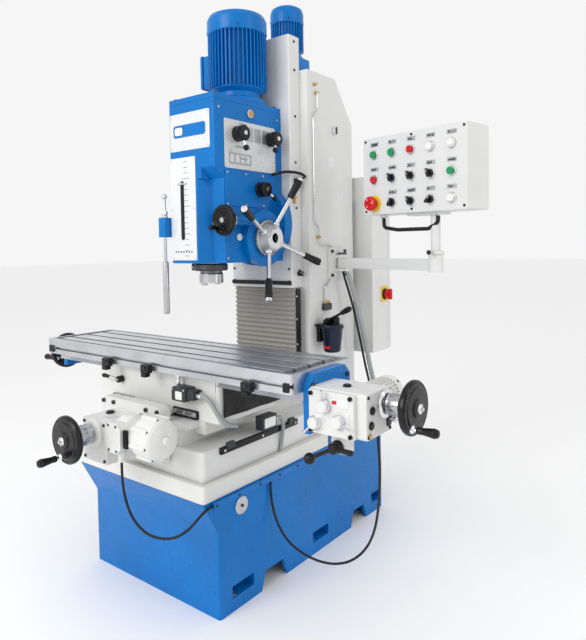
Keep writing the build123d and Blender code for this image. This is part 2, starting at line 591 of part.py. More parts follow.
# Table: three T-slots, a trough at each end, a stop groove in front, a dovetail guide below.
with BuildPart() as table:
    block((TABLE_X0, TABLE_X1), (TABLE_Y0, TABLE_Y1), (TABLE_Z0, TABLE_TOP))
    fillet(table.edges().filter_by(Axis.Z), 8)
    guide = [
        (TABLE_MID - GUIDE_TOP_HALF, TABLE_Z0 + 1),
        (TABLE_MID + GUIDE_TOP_HALF, TABLE_Z0 + 1),
        (TABLE_MID + GUIDE_TOP_HALF, TABLE_Z0),
        (TABLE_MID + GUIDE_LOW_HALF, TABLE_Z0 - GUIDE_H),
        (TABLE_MID - GUIDE_LOW_HALF, TABLE_Z0 - GUIDE_H),
        (TABLE_MID - GUIDE_TOP_HALF, TABLE_Z0),
    ]
    guide_plane = Plane.YZ.offset(TABLE_X0)
    prism(guide_plane, guide, TABLE_X1 - TABLE_X0)
    groove_y = (XS_Y - SCREW_GROOVE_HALF, XS_Y + SCREW_GROOVE_HALF)
    groove_z = (TABLE_Z0 - GUIDE_H - 1, XS_Z + XS_R + 6)
    block((TABLE_X0 - 1, TABLE_X1 + 1), groove_y, groove_z, Mode.SUBTRACT)
    long_x = (TABLE_X0 - 1, TABLE_X1 + 1)
    inner_x = (TABLE_X0 + TABLE_LIP, TABLE_X1 - TABLE_LIP)
    wide_z = (TABLE_TOP - SLOT_NECK - SLOT_T_H, TABLE_TOP - SLOT_NECK)
    for slot in (-1, 0, 1):
        slot_y = TABLE_MID + slot * SLOT_PITCH
        neck_y = (slot_y - SLOT_W / 2, slot_y + SLOT_W / 2)
        wide_y = (slot_y - SLOT_T_W / 2, slot_y + SLOT_T_W / 2)
        block(inner_x, neck_y, (TABLE_TOP - SLOT_NECK - 2, TABLE_TOP + 1), Mode.SUBTRACT)
        block(inner_x, wide_y, wide_z, Mode.SUBTRACT)
    rim_y = (TABLE_Y0 + TABLE_RIM, TABLE_Y1 - TABLE_RIM)
    left_trough = (inner_x[0], inner_x[0] + TROUGH_W)
    right_trough = (inner_x[1] - TROUGH_W, inner_x[1])
    for trough in (left_trough, right_trough):
        block(trough, rim_y, (wide_z[0], TABLE_TOP + 1), Mode.SUBTRACT)
    for gutter in ((rim_y[0], rim_y[0] + GUTTER_W), (rim_y[1] - GUTTER_W, rim_y[1])):
        block(inner_x, gutter, (TABLE_TOP - GUTTER_D, TABLE_TOP + 1), Mode.SUBTRACT)
    block(long_x, (TABLE_Y0 - 1, TABLE_Y0 + 8), (TABLE_Z0 + 18, TABLE_Z0 + 27), Mode.SUBTRACT)
    block(long_x, (TABLE_Y0 + 5, TABLE_Y0 + 11), (TABLE_Z0 + 14, TABLE_Z0 + 31), Mode.SUBTRACT)
keep(table, "table")


def end_plate(x, y, z, corner):
    """A bearing plate with cut top corners and a bore for the X screw."""
    outline = [(y[0], z[0]), (y[1], z[0]), (y[1], z[1] - corner)]
    outline += [(y[1] - corner, z[1]), (y[0] + corner, z[1]), (y[0], z[1] - corner)]
    prism(Plane.YZ.offset(x[0]), outline, x[1] - x[0])
    bar((x[0] - 1, XS_Y, XS_Z), (x[1] + 1, XS_Y, XS_Z), XS_R + SHAFT_GAP, Mode.SUBTRACT)


# End plates: the screw's bearing plate at the left end and the gearbox flange at the right end.
PLATE_R_X1 = TABLE_X1 + PLATE_R
with BuildPart() as table_end_plates:
    end_plate((TABLE_X0 - PLATE_L, TABLE_X0), (-450, -318), (688, 800), 18)
    end_plate((TABLE_X1, PLATE_R_X1), (-478, -271), (636, 800), 26)
keep(table_end_plates, "table_end_plates")

# Feed gearbox: a hollow housing on the right flange with a proud front cover and a lever boss.
with BuildPart() as x_gearbox:
    block((PLATE_R_X1, GEARBOX_X1), GEARBOX_Y, GEARBOX_Z)
    fillet(x_gearbox.edges().filter_by(Axis.X), 9)
    fillet(x_gearbox.edges().group_by(Axis.X)[-1], 4)
    pivot_x, pivot_z = FEED_PIVOT
    lever_boss_y = (GEARBOX_Y[0] + 6, GEARBOX_Y[0] + 50)
    block((pivot_x - 22, pivot_x + 22), lever_boss_y, (pivot_z - 20, GEARBOX_Z[0] + 2))
    cover_x = (PLATE_R_X1 + 6, GEARBOX_X1 - 30)
    block(cover_x, (GEARBOX_Y[0] - COVER_T, GEARBOX_Y[0]), (GEARBOX_Z[0] + 2, GEARBOX_Z[1] - 3))
    cavity_x = (PLATE_R_X1 + GEARBOX_WALL, GEARBOX_X1 - GEARBOX_WALL)
    cavity_y = (GEARBOX_Y[0] + GEARBOX_WALL, GEARBOX_Y[1] - GEARBOX_WALL)
    block(cavity_x, cavity_y, (GEARBOX_Z[0] + GEARBOX_WALL, GEARBOX_Z[1] - GEARBOX_WALL), Mode.SUBTRACT)
    bar((PLATE_R_X1 - 1, XS_Y, XS_Z), (GEARBOX_X1 + 1, XS_Y, XS_Z), XS_R + SHAFT_GAP, Mode.SUBTRACT)
keep(x_gearbox, "x_gearbox")

# Feed motor: a round flange motor behind the gearbox.
with BuildPart() as x_feed_motor:
    x_motor_profile = [
        (0, 0),
        (XMOTOR_R - 5, 0),
        (XMOTOR_R - 5, 12),
        (XMOTOR_R - 2, 12),
        (XMOTOR_R - 2, XMOTOR_LEN - 38),
        (XMOTOR_R, XMOTOR_LEN - 38),
        (XMOTOR_R, XMOTOR_LEN - 10),
        (XMOTOR_R - 10, XMOTOR_LEN),
        (0, XMOTOR_LEN),
    ]
    turned((XMOTOR_X, GEARBOX_Y[1], XMOTOR_Z), (0, 1, 0), (1, 0, 0), x_motor_profile)
keep(x_feed_motor, "x_feed_motor")

# X screw: one long screw under the table, with a dial and a nut at each end.
SCREW_X0 = WHEEL_L_X - 16
SCREW_X1 = WHEEL_R_X + 14
with BuildPart() as x_leadscrew:
    bar((SCREW_X0, XS_Y, XS_Z), (SCREW_X1, XS_Y, XS_Z), XS_R)
    for dial_x0, dial_x1 in ((WHEEL_L_X + 16, TABLE_X0 - PLATE_L - 2), (GEARBOX_X1 + 2, WHEEL_R_X - 20)):
        long_mid = (dial_x0 + dial_x1) / 2
        bar((dial_x0, XS_Y, XS_Z), (dial_x1, XS_Y, XS_Z), 19)
        bar((long_mid - 12, XS_Y, XS_Z), (long_mid + 12, XS_Y, XS_Z), 29)
keep(x_leadscrew, "x_leadscrew")


def handwheel(centre, out, across, crank, bore_r):
    """A dished disc wheel with a rolled rim, a hub, and a crank handle that points outwards."""
    dish = [
        (bore_r, -15),
        (24, -15),
        (26, -3),
        (WHEEL_R - 16, 3),
        (WHEEL_R - 14, -7),
        (WHEEL_R - 3, -9),
        (WHEEL_R, -4),
        (WHEEL_R, 5),
        (WHEEL_R - 3, 10),
        (WHEEL_R - 12, 10),
        (WHEEL_R - 15, 8),
        (28, 3),
        (22, 12),
        (bore_r, 12),
    ]
    turned(centre, out, across, dish)
    seat = Vector(*centre) + Vector(*crank) * CRANK_R + Vector(*out) * 6
    neck = seat + Vector(*out) * 14
    end = seat + Vector(*out) * 84
    bar(tuple(seat - Vector(*out) * 4), tuple(neck), 8)
    bar(tuple(neck), tuple(end), 9, end_radius=13)
    ball(tuple(end), 13)


# X handwheels: two alike, one at each end of the screw.
with BuildPart() as x_handwheels:
    crank_left = (0, -sin(radians(60)), -cos(radians(60)))
    crank_right = (0, -sin(radians(35)), -cos(radians(35)))
    handwheel((WHEEL_L_X, XS_Y, XS_Z), (-1, 0, 0), (0, 0, 1), crank_left, XS_R)
    handwheel((WHEEL_R_X, XS_Y, XS_Z), (1, 0, 0), (0, 0, 1), crank_right, XS_R)
keep(x_handwheels, "x_handwheels")

# Speed levers: three alike on the gearbox cover.
cover_y = GEARBOX_Y[0] - COVER_T - BODY_GAP
lever_places = [(709, 728, 90), (679, 680, 215), (753, 692, 235)]
for lever_number, (lever_x, lever_z, lever_turn) in enumerate(lever_places, 1):
    tip_x = lever_x + 28 * cos(radians(lever_turn))
    tip_z = lever_z + 28 * sin(radians(lever_turn))
    place = (lever_x, cover_y, lever_z)
    lever_tip = (tip_x, cover_y - 18, tip_z)
    knob_lever(f"x_speed_lever_{lever_number}", place, (0, -1, 0), lever_tip, 13, 24, 3, 5, 12)

# Feed lever: a two-armed lever below the gearbox, one arm with a knob.
with BuildPart() as x_feed_lever:
    feed_y = GEARBOX_Y[0] + 6 - BODY_GAP
    arm_y = feed_y - 22
    bar((pivot_x, feed_y, pivot_z), (pivot_x, feed_y - 32, pivot_z), 17)
    knob_from = (pivot_x - 58, arm_y - 6, pivot_z - 31)
    bar((pivot_x, arm_y, pivot_z), knob_from, 6)
    bar(knob_from, (pivot_x - 86, arm_y - 6, pivot_z - 46), 12, end_radius=15)
    bar((pivot_x, arm_y, pivot_z), (pivot_x + 58, arm_y, pivot_z - 2), 7)
keep(x_feed_lever, "x_feed_lever")

# ======================= Y screw =======================
YS_BACK = SADDLE_BACK + 280
with BuildPart() as y_leadscrew:
    bar((0, WHEEL_Y_Y - 16, YS_Z), (0, YS_BACK, YS_Z), YS_R)
    bar((0, WHEEL_Y_Y + 17, YS_Z), (0, YBOX_FRONT - 2, YS_Z), 19)
    bar((0, YBOX_FRONT - 46, YS_Z), (0, YBOX_FRONT - 16, YS_Z), 31)
keep(y_leadscrew, "y_leadscrew")

with BuildPart() as y_handwheel:
    handwheel((0, WHEEL_Y_Y, YS_Z), (0, -1, 0), (0, 0, 1), (-0.35, 0, -sin(radians(69.5))), YS_R)
keep(y_handwheel, "y_handwheel")

# ======================= head =======================

# Slide: the head's carriage, with a T slot for the column's rails and the lift nut behind.
rail_front = COL_FRONT - RAIL_STEM_D - RAIL_CAP_D
nut_z = (SLIDE_Z1 - 592, SLIDE_Z1 - 532)
with BuildPart() as vertical_slide:
    block((-SLIDE_HALF, SLIDE_HALF), (SLIDE_FRONT, COL_FRONT - WAY_GAP), (SLIDE_Z0, SLIDE_Z1))
    fillet(vertical_slide.edges().filter_by(Axis.Z).group_by(Axis.Y)[0], 6)
    cap_y = (rail_front - WAY_GAP, COL_FRONT - RAIL_STEM_D + WAY_GAP)
    cap_x = RAIL_CAP + WAY_GAP
    stem_x = RAIL_STEM + WAY_GAP
    block((-cap_x, cap_x), cap_y, (SLIDE_Z0 - 1, SLIDE_Z1 + 1), Mode.SUBTRACT)
    block((-stem_x, stem_x), (rail_front, COL_FRONT), (SLIDE_Z0 - 1, SLIDE_Z1 + 1), Mode.SUBTRACT)
    block((-36, 36), (rail_front - 4, LIFT_Y + LIFT_R + 14), nut_z)
    bar((0, LIFT_Y, nut_z[0] - 1), (0, LIFT_Y, nut_z[1] + 1), LIFT_R + SHAFT_GAP, Mode.SUBTRACT)
keep(vertical_slide, "vertical_slide")

# Head casting: a hollow gearcase with a cut-back front corner, a round mounting
# flange behind, and a boss for the capstan.
head_outline = [(-HEAD_HALF, SLIDE_FRONT), (-HEAD_HALF, HEAD_FRONT)]
head_outline += [(HEAD_HALF, HEAD_FRONT), (HEAD_HALF, SLIDE_FRONT)]
case_top = HEAD_Z1 - LID_H
quill_hole = QUILL_R + SHAFT_GAP
with BuildPart() as head_casting:
    prism(Plane.XY.offset(HEAD_Z0), head_outline, case_top - HEAD_Z0)
    fillet(head_casting.edges().filter_by(Axis.Z).group_by(Axis.Y)[0], 5)
    bar((0, SLIDE_FRONT - FLANGE_D, FLANGE_Z), (0, SLIDE_FRONT, FLANGE_Z), FLANGE_R)
    boss_x = HEAD_HALF + BOSS_OUT
    bar((HEAD_HALF - 1, CAPSTAN_Y, CAPSTAN_Z), (boss_x, CAPSTAN_Y, CAPSTAN_Z), BOSS_R)
    case_back = CAPSTAN_Y - HUB_R - 4
    bar((FINE_X, FINE_CASE_Y, FINE_Z), (FINE_X, case_back, FINE_Z), FINE_CASE_R)
    web_y = (FINE_CASE_Y + 8, case_back)
    block((HEAD_HALF - 1, FINE_X), web_y, (FINE_Z - FINE_CASE_R, FINE_Z + FINE_CASE_R))
    cavity_front = SPINDLE_Y + QUILL_R + 18
    cavity = ((-HEAD_HALF + HEAD_WALL, HEAD_HALF - HEAD_WALL), (cavity_front, SLIDE_FRONT - HEAD_WALL))
    block(*cavity, (HEAD_Z0 + HEAD_WALL, case_top - HEAD_WALL), Mode.SUBTRACT)
    top_front = (cavity[0], (HEAD_FRONT + HEAD_WALL, cavity_front + 1))
    block(*top_front, (QUILL_Z1 + 4, case_top - HEAD_WALL), Mode.SUBTRACT)
    bar((0, SPINDLE_Y, HEAD_Z0 - 1), (0, SPINDLE_Y, QUILL_Z1 + 5), quill_hole, Mode.SUBTRACT)
    front = HEAD_FRONT - 9
    beside = HEAD_HALF + 9
    notch = [(NOTCH_X0, HEAD_FRONT), (NOTCH_X0, front), (beside, front)]
    notch += [(beside, NOTCH_Y), (NOTCH_X1, NOTCH_Y)]
    prism(Plane.XY.offset(HEAD_Z0 - 1), notch, NOTCH_Z - HEAD_Z0 + 1, mode=Mode.SUBTRACT)
    slant = [(front, NOTCH_Z - 1), (NOTCH_Y, NOTCH_Z - 1)]
    slant += [(NOTCH_Y, NOTCH_Z), (front, NOTCH_Z + NOTCH_SLOPE)]
    prism(Plane.YZ.offset(NOTCH_X1 - 10), slant, HEAD_HALF, mode=Mode.SUBTRACT)
    shaft_from = (HEAD_HALF - HEAD_WALL - 1, CAPSTAN_Y, CAPSTAN_Z)
    shaft_hole = CAPSTAN_SHAFT_R + SHAFT_GAP
    bar(shaft_from, (boss_x + 1, CAPSTAN_Y, CAPSTAN_Z), shaft_hole, Mode.SUBTRACT)
keep(head_casting, "head_casting")

# Head lid: a plain cover bolted on the gearcase, which carries the spindle motor.
with BuildPart() as head_lid:
    prism(Plane.XY.offset(case_top), head_outline, LID_H)
    fillet(head_lid.edges().filter_by(Axis.Z).group_by(Axis.Y)[0], 5)
keep(head_lid, "head_lid")

# Spindle motor: a vertical flange motor with a fan cover and a terminal box.
MOTOR_Y = -34.0
MOTOR_R = 115.0
MOTOR_TOP = 2040.0
with BuildPart() as spindle_motor:
    spindle_motor_profile = [
        (0, HEAD_Z1),
        (MOTOR_R - 8, HEAD_Z1),
        (MOTOR_R - 8, HEAD_Z1 + 14),
        (MOTOR_R - 34, HEAD_Z1 + 24),
        (MOTOR_R - 34, HEAD_Z1 + 48),
        (MOTOR_R - 14, HEAD_Z1 + 60),
        (MOTOR_R - 14, HEAD_Z1 + 70),
        (MOTOR_R - 4, HEAD_Z1 + 72),
        (MOTOR_R - 4, MOTOR_TOP - 100),
        (MOTOR_R, MOTOR_TOP - 100),
        (MOTOR_R, MOTOR_TOP - 28),
        (MOTOR_R - 22, MOTOR_TOP),
        (0, MOTOR_TOP),
    ]
    turned((0, MOTOR_Y, 0), (0, 0, 1), (1, 0, 0), spindle_motor_profile)
    block((-MOTOR_R - 42, -MOTOR_R + 20), (MOTOR_Y - 45, MOTOR_Y + 45), (1780, 1905))
keep(spindle_motor, "spindle_motor")

# Quill: a sleeve in the head, bored for the spindle's bearings, with a pointer arm to the scale.
with BuildPart() as quill:
    bar((0, SPINDLE_Y, QUILL_Z0), (0, SPINDLE_Y, QUILL_Z1), QUILL_R)
    bar((0, SPINDLE_Y, QUILL_Z0 - 1), (0, SPINDLE_Y, QUILL_Z1 + 1), SPINDLE_R + SHAFT_GAP, Mode.SUBTRACT)
keep(quill, "quill")

# Spindle: a stepped shaft with a flanged nose, a taper bore and two drive keys.
with BuildPart() as spindle:
    nose_top = QUILL_Z0 - BODY_GAP
    spindle_profile = [(0, NOSE_Z0), (NOSE_R, NOSE_Z0), (NOSE_R, nose_top - 14)]
    spindle_profile += [(NOSE_R - 6, nose_top), (SPINDLE_R, nose_top)]
    spindle_profile += [(SPINDLE_R, QUILL_Z1 + 12), (0, QUILL_Z1 + 12)]
    turned((0, SPINDLE_Y, 0), (0, 0, 1), (1, 0, 0), spindle_profile)
    taper_top = NOSE_Z0 + TAPER_LEN
    bore_profile = [(0, NOSE_Z0 - 1), (TAPER_R0, NOSE_Z0 - 1), (TAPER_R0, NOSE_Z0 + 12)]
    bore_profile += [(TAPER_R0 - TAPER_LEN * 7 / 48, taper_top), (0, taper_top)]
    turned((0, SPINDLE_Y, 0), (0, 0, 1), (1, 0, 0), bore_profile, Mode.SUBTRACT)
    for key_sign in (-1, 1):
        key_y = sorted(SPINDLE_Y + key_sign * w for w in (TAPER_R0 + 4, NOSE_R - 1))
        block((-8, 8), key_y, (NOSE_Z0 - 8, NOSE_Z0 + 4))
keep(spindle, "spindle")

# Capstan: a hub and shaft through the head's side, with four handles that slant outwards.
SPOKE_ANGLES = [66, 156, 246, 336]
with BuildPart() as capstan:
    shaft_in = (HEAD_HALF - HEAD_WALL - 20, CAPSTAN_Y, CAPSTAN_Z)
    bar(shaft_in, (HUB_X1 - 2, CAPSTAN_Y, CAPSTAN_Z), CAPSTAN_SHAFT_R)
    hub_profile = [(0, HUB_X0), (HUB_R + 6, HUB_X0), (HUB_R + 6, HUB_X0 + 12)]
    hub_profile += [(HUB_R, HUB_X0 + 14), (HUB_R, HUB_X1 - 10), (HUB_R - 6, HUB_X1), (0, HUB_X1)]
    turned((0, CAPSTAN_Y, CAPSTAN_Z), (1, 0, 0), (0, 0, 1), hub_profile)
    for angle in SPOKE_ANGLES:
        out_y = cos(radians(angle))
        out_z = sin(radians(angle))
        spoke_x = HUB_X0 + 26
        inner = HUB_R - 16
        root = (spoke_x, CAPSTAN_Y + out_y * inner, CAPSTAN_Z + out_z * inner)
        end_y = CAPSTAN_Y + out_y * SPOKE_REACH
        end = (spoke_x + SPOKE_RISE, end_y, CAPSTAN_Z + out_z * SPOKE_REACH)
        run = (Vector(*end) - Vector(*root)).normalized()
        grip = tuple(Vector(*end) - run * GRIP_LEN)
        bar(root, grip, SPOKE_R)
        bar(grip, end, GRIP_R - 2, end_radius=GRIP_R)
        ball(end, SPOKE_R)
keep(capstan, "capstan")

# Fine feed handwheel: a dished wheel on a graduated collar, facing the operator.
with BuildPart() as fine_feed_wheel:
    fine_profile = [
        (0, BODY_GAP),
        (FINE_COLLAR_R, BODY_GAP),
        (FINE_COLLAR_R, 22),
        (FINE_COLLAR_R - 8, 24),
        (FINE_COLLAR_R - 8, 34),
        (FINE_WHEEL_R - 3, 37),
        (FINE_WHEEL_R, 42),
        (FINE_WHEEL_R, 49),
        (FINE_WHEEL_R - 6, 52),
        (FINE_WHEEL_R - 14, 46),
        (18, 46),
        (14, 54),
        (0, 54),
    ]
    turned((FINE_X, FINE_CASE_Y, FINE_Z), (0, -1, 0), (1, 0, 0), fine_profile)
    knob_root = (FINE_X - 28, FINE_CASE_Y - 45, FINE_Z - 25)
    knob_end = (FINE_X - 28, FINE_CASE_Y - 86, FINE_Z - 25)
    bar(knob_root, knob_end, 5, end_radius=8)
keep(fine_feed_wheel, "fine_feed_wheel")

# Gear levers: three alike on the head's right side.
gear_x = HEAD_HALF + BODY_GAP
gear_places = [(-170, 1557, 275, 52), (16, 1560, 250, 48), (-52, 1364, 325, 52)]
for lever_number, (lever_y, lever_z, lever_turn, reach) in enumerate(gear_places, 1):
    tip_y = lever_y + reach * cos(radians(lever_turn))
    tip_z = lever_z + reach * sin(radians(lever_turn))
    gear_pivot = (gear_x, lever_y, lever_z)
    gear_name = f"gear_lever_{lever_number}"
    knob_lever(gear_name, gear_pivot, (1, 0, 0), (gear_x + 36, tip_y, tip_z), 27, 44, 4.5, 9, 20)

# Guard rod: a vertical rod in a bracket on the head's front left corner, with a thick sleeve.
ROD_X = -137.0
ROD_Y = -300.0
with BuildPart() as guard_rod:
    bar((ROD_X, ROD_Y, 1100), (ROD_X, ROD_Y, 1334), 6)
    ball((ROD_X, ROD_Y, 1340), 10)
    bar((ROD_X, ROD_Y, 905), (ROD_X, ROD_Y, 1101), 11)
    bar((ROD_X, ROD_Y, 1272), (ROD_X, ROD_Y, 1286), 12)
    block((ROD_X - 18, -HEAD_HALF), (ROD_Y - 18, HEAD_FRONT + 60), (1190, 1262))
keep(guard_rod, "guard_rod")

# Slide clamp: a small lever at the slide's right edge that locks the head on the column.
clamp_pivot = (SLIDE_HALF + BODY_GAP, 128, 1040)
clamp_tip = (SLIDE_HALF + 24, 104, 1052)
knob_lever("slide_clamp", clamp_pivot, (1, 0, 0), clamp_tip, 9, 20, 3.5, 5, 12)

# ======================= panel arm =======================

# Arm bracket: a plate on the column's side with two lugs and the arm's upright pin.
with BuildPart() as arm_bracket:
    block((COL_HALF, COL_HALF + 14), (ARM_ROOT[1] - 60, ARM_ROOT[1] + 60), (1010, 1142))
    fillet(arm_bracket.edges().filter_by(Axis.X), 6)
    for lug_z in (ARM_Z - ARM_SIZE / 2 - 14, ARM_Z + ARM_SIZE / 2 + 2):
        block((COL_HALF + 13, ARM_ROOT[0]), (ARM_ROOT[1] - 22, ARM_ROOT[1] + 22), (lug_z, lug_z + 12))
        bar((*ARM_ROOT, lug_z), (*ARM_ROOT, lug_z + 12), 22)
    bar((*ARM_ROOT, ARM_Z - ARM_SIZE / 2 - 6), (*ARM_ROOT, ARM_Z + ARM_SIZE / 2 + 6), ARM_PIN_R)
keep(arm_bracket, "arm_bracket")

# Arm: a square tube from its knuckle to a socket that holds the panel's post.
arm_dir = (cos(radians(ARM_TURN)), sin(radians(ARM_TURN)))
arm_end = (ARM_ROOT[0] + ARM_LEN * arm_dir[0], ARM_ROOT[1] + ARM_LEN * arm_dir[1])
arm_plane = Plane(origin=(*ARM_ROOT, ARM_Z), x_dir=(*arm_dir, 0), z_dir=(0, 0, 1))
knuckle_h = ARM_SIZE + 1
SOCKET_H = 62.0
with BuildPart() as pendant_arm:
    with BuildSketch(arm_plane) as tube_side:
        with Locations((ARM_LEN / 2 + 6, 0)):
            Rectangle(ARM_LEN - 12, ARM_SIZE)
        Circle(20)
    extrude(tube_side.sketch, amount=knuckle_h / 2, both=True)
    bar((*arm_end, ARM_Z - 26), (*arm_end, ARM_Z - 26 + SOCKET_H), 27)
    bar((*ARM_ROOT, ARM_Z - 40), (*ARM_ROOT, ARM_Z + 40), ARM_PIN_R + SHAFT_GAP, Mode.SUBTRACT)
    bar((*arm_end, ARM_Z - 10), (*arm_end, ARM_Z + 60), POST_R + SHAFT_GAP, Mode.SUBTRACT)
keep(pendant_arm, "pendant_arm")

# Control box: a shell with a front plate, a post below that turns in the arm's socket,
# and bezels for the operators.
panel_x = Vector(cos(radians(PANEL_TURN)), sin(radians(PANEL_TURN)), 0)
panel_front = Plane(origin=(*PANEL_CORNER, PANEL_Z0), x_dir=panel_x, z_dir=panel_x.cross(Vector(0, 0, 1)))
BUTTON_PLACES = {
    "green_button_1": (0, 2),
    "green_button_2": (1, 2),
    "red_button_1": (2, 2),
    "white_button_1": (3, 2),
    "red_button_2": (0, 1),
    "green_button_3": (4, 1),
    "white_button_2": (4, 0),
}
SELECTOR_PLACES = [(1, 1, -20), (2, 1, -20), (3, 1, -20), (1, 0, 20), (2, 0, -20), (3, 0, 40)]
LAMP_PLACE = (4, 2)
ESTOP_PLACE = (0, 0)


def on_panel(column, row, out=0.0):
    """A plane on the panel's face at an operator's place, its Z pointing outwards."""
    spot = panel_front.from_local_coords((PANEL_COLUMNS[column], PANEL_ROWS[row], out))
    return Plane(origin=spot, x_dir=panel_x, z_dir=panel_front.z_dir)


bezel_spots = [place for place in BUTTON_PLACES.values()]
bezel_spots += [(column, row) for column, row, _ in SELECTOR_PLACES]
with BuildPart() as control_box:
    with BuildSketch(panel_front) as face:
        with Locations((PANEL_W / 2, PANEL_H / 2)):
            RectangleRounded(PANEL_W, PANEL_H, 6)
    extrude(face.sketch, amount=-PANEL_D)
    with BuildSketch(panel_front.offset(-PANEL_WALL)) as hollow:
        with Locations((PANEL_W / 2, PANEL_H / 2)):
            Rectangle(PANEL_W - 2 * PANEL_WALL, PANEL_H - 2 * PANEL_WALL)
    extrude(hollow.sketch, amount=-PANEL_D + 2 * PANEL_WALL, mode=Mode.SUBTRACT)
    for column, row in bezel_spots:
        with Locations(on_panel(column, row)):
            Cylinder(BEZEL_R, BEZEL_H, align=(Align.CENTER, Align.CENTER, Align.MIN))
    for column, row in bezel_spots + [ESTOP_PLACE]:
        with Locations(on_panel(column, row)):
            Cylinder(BUTTON_R + SHAFT_GAP, 40, mode=Mode.SUBTRACT)
    with Locations(on_panel(*LAMP_PLACE)):
        Cylinder(BEZEL_R, 9, align=(Align.CENTER, Align.CENTER, Align.MIN))
    post_low = ARM_Z - 9
    bar((*arm_end, post_low), (*arm_end, PANEL_Z0 - 8), POST_R)
    mount_plane = Plane(origin=(*arm_end, PANEL_Z0), x_dir=panel_x, z_dir=(0, 0, 1))
    with BuildSketch(mount_plane) as mount:
        with Locations((-30, 0)):
            RectangleRounded(150, 60, 6)
    extrude(mount.sketch, amount=-10)
keep(control_box, "control_box")

cap_align = (Align.CENTER, Align.CENTER, Align.MIN)

# Push buttons: short plungers, each in its own bezel.
for button_name, (column, row) in BUTTON_PLACES.items():
    with BuildPart() as push_button:
        with Locations(on_panel(column, row, -8)):
            Cylinder(BUTTON_R, 8 + BEZEL_H + BUTTON_TRAVEL, align=cap_align)
        rims = push_button.edges().filter_by(GeomType.CIRCLE)
        fillet(rims.sort_by(Axis((0, 0, 0), panel_front.z_dir))[-1], 1.5)
    keep(push_button, button_name)

# Emergency stop: a mushroom head on its plunger.
with BuildPart() as emergency_stop:
    with Locations(on_panel(*ESTOP_PLACE, -8)):
        Cylinder(BUTTON_R, 22, align=cap_align)
    with Locations(on_panel(*ESTOP_PLACE, 13)):
        Cylinder(20, 11, align=cap_align)
    rims = emergency_stop.edges().filter_by(GeomType.CIRCLE)
    fillet(rims.sort_by(Axis((0, 0, 0), panel_front.z_dir))[-1], 5)
keep(emergency_stop, "emergency_stop")

# Selectors: black grips that turn in their bezels.
for selector_number, (column, row, grip_turn) in enumerate(SELECTOR_PLACES, 1):
    with BuildPart() as selector:
        with Locations(on_panel(column, row, -8)):
            Cylinder(BUTTON_R, 8 + BEZEL_H + 2, align=cap_align)
        with Locations(on_panel(column, row, BEZEL_H + 1)):
            Cylinder(14.5, 5, align=cap_align)
        with BuildSketch(on_panel(column, row, BEZEL_H + 5).rotated((0, 0, grip_turn))) as grip_face:
            RectangleRounded(9, 28, 3)
        extrude(grip_face.sketch, amount=13)
    keep(selector, f"selector_{selector_number}")

# ======================= cables =======================


def cable(name, points, radius):
    """A tube along straight runs joined by the largest tangent arcs that the runs allow."""
    route = [Vector(*p) for p in points]
    radii = []
    for before, here, after in zip(route, route[1:], route[2:]):
        turn = (here - before).get_angle(after - here)
        shorter = min((here - before).length, (after - here).length)
        radii.append(0.45 * shorter / tan(radians(turn) / 2))
    runs = sum((b - a).length for a, b in zip(route, route[1:]))
    print(name, "radii", [round(r) for r in radii], "length of runs", round(runs))
    with BuildLine() as path:
        FilletPolyline(*points, radius=radii)
    with BuildSketch(Plane(origin=points[0], z_dir=route[1] - route[0])) as section:
        Circle(radius)
    with BuildPart() as tube:
        sweep(section.sketch, path=path.line)
    expected = sum(edge.length for edge in path.line.edges()) * section.sketch.area
    print(name, "volume / (section x length)", round(tube.part.volume / expected, 4))
    return tube


# Y motor cable: from the motor's gland round to the duct's front end.
gland_y = YMOTOR_Y - 43
Y_CABLE = [
    (GLAND_X, gland_y, GLAND_Z),
    (GLAND_X, gland_y, 480),
    (107, gland_y, 444),
    (117, -692, 398),
    (136, -689, 356),
    (165, -683, 324),
    (203, -672, 303),
    (247, -654, 299),
    (282, -640, 308),
    (308, -620, 328),
    (321, -596, 352),
    (DUCT_X, -560, DUCT_MID_Z),
    (DUCT_X, DUCT_Y[0], DUCT_MID_Z),
]
y_motor_cable = cable("y_motor_cable", Y_CABLE, CABLE_R)
keep(y_motor_cable, "y_motor_cable")

# X drive cable: hangs in a loop from the duct's lower face up to the feed gearbox.
X_CABLE = [
    (DUCT_X, -262, DUCT_Z[0]),
    (DUCT_X, -262, 322),
    (331, -261, 270),
    (346, -254, 216),
    (372, -240, 164),
    (411, -216, 124),
    (458, -192, 100),
    (510, -174, 96),
    (560, -163, 112),
    (606, -164, 148),
    (646, -176, 196),
    (680, -198, 252),
    (709, -226, 312),
    (734, -257, 374),
    (756, -288, 438),
    (774, -316, 504),
    (788, -342, 562),
    (795, -362, 612),
    (795, -362, GEARBOX_Z[0]),
]
x_drive_cable = cable("x_drive_cable", X_CABLE, CABLE_R)
keep(x_drive_cable, "x_drive_cable")
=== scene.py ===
import json
from math import cos, pi, radians, sin, sqrt, tan
import bpy
import numpy as np
from mathutils import Matrix, Vector


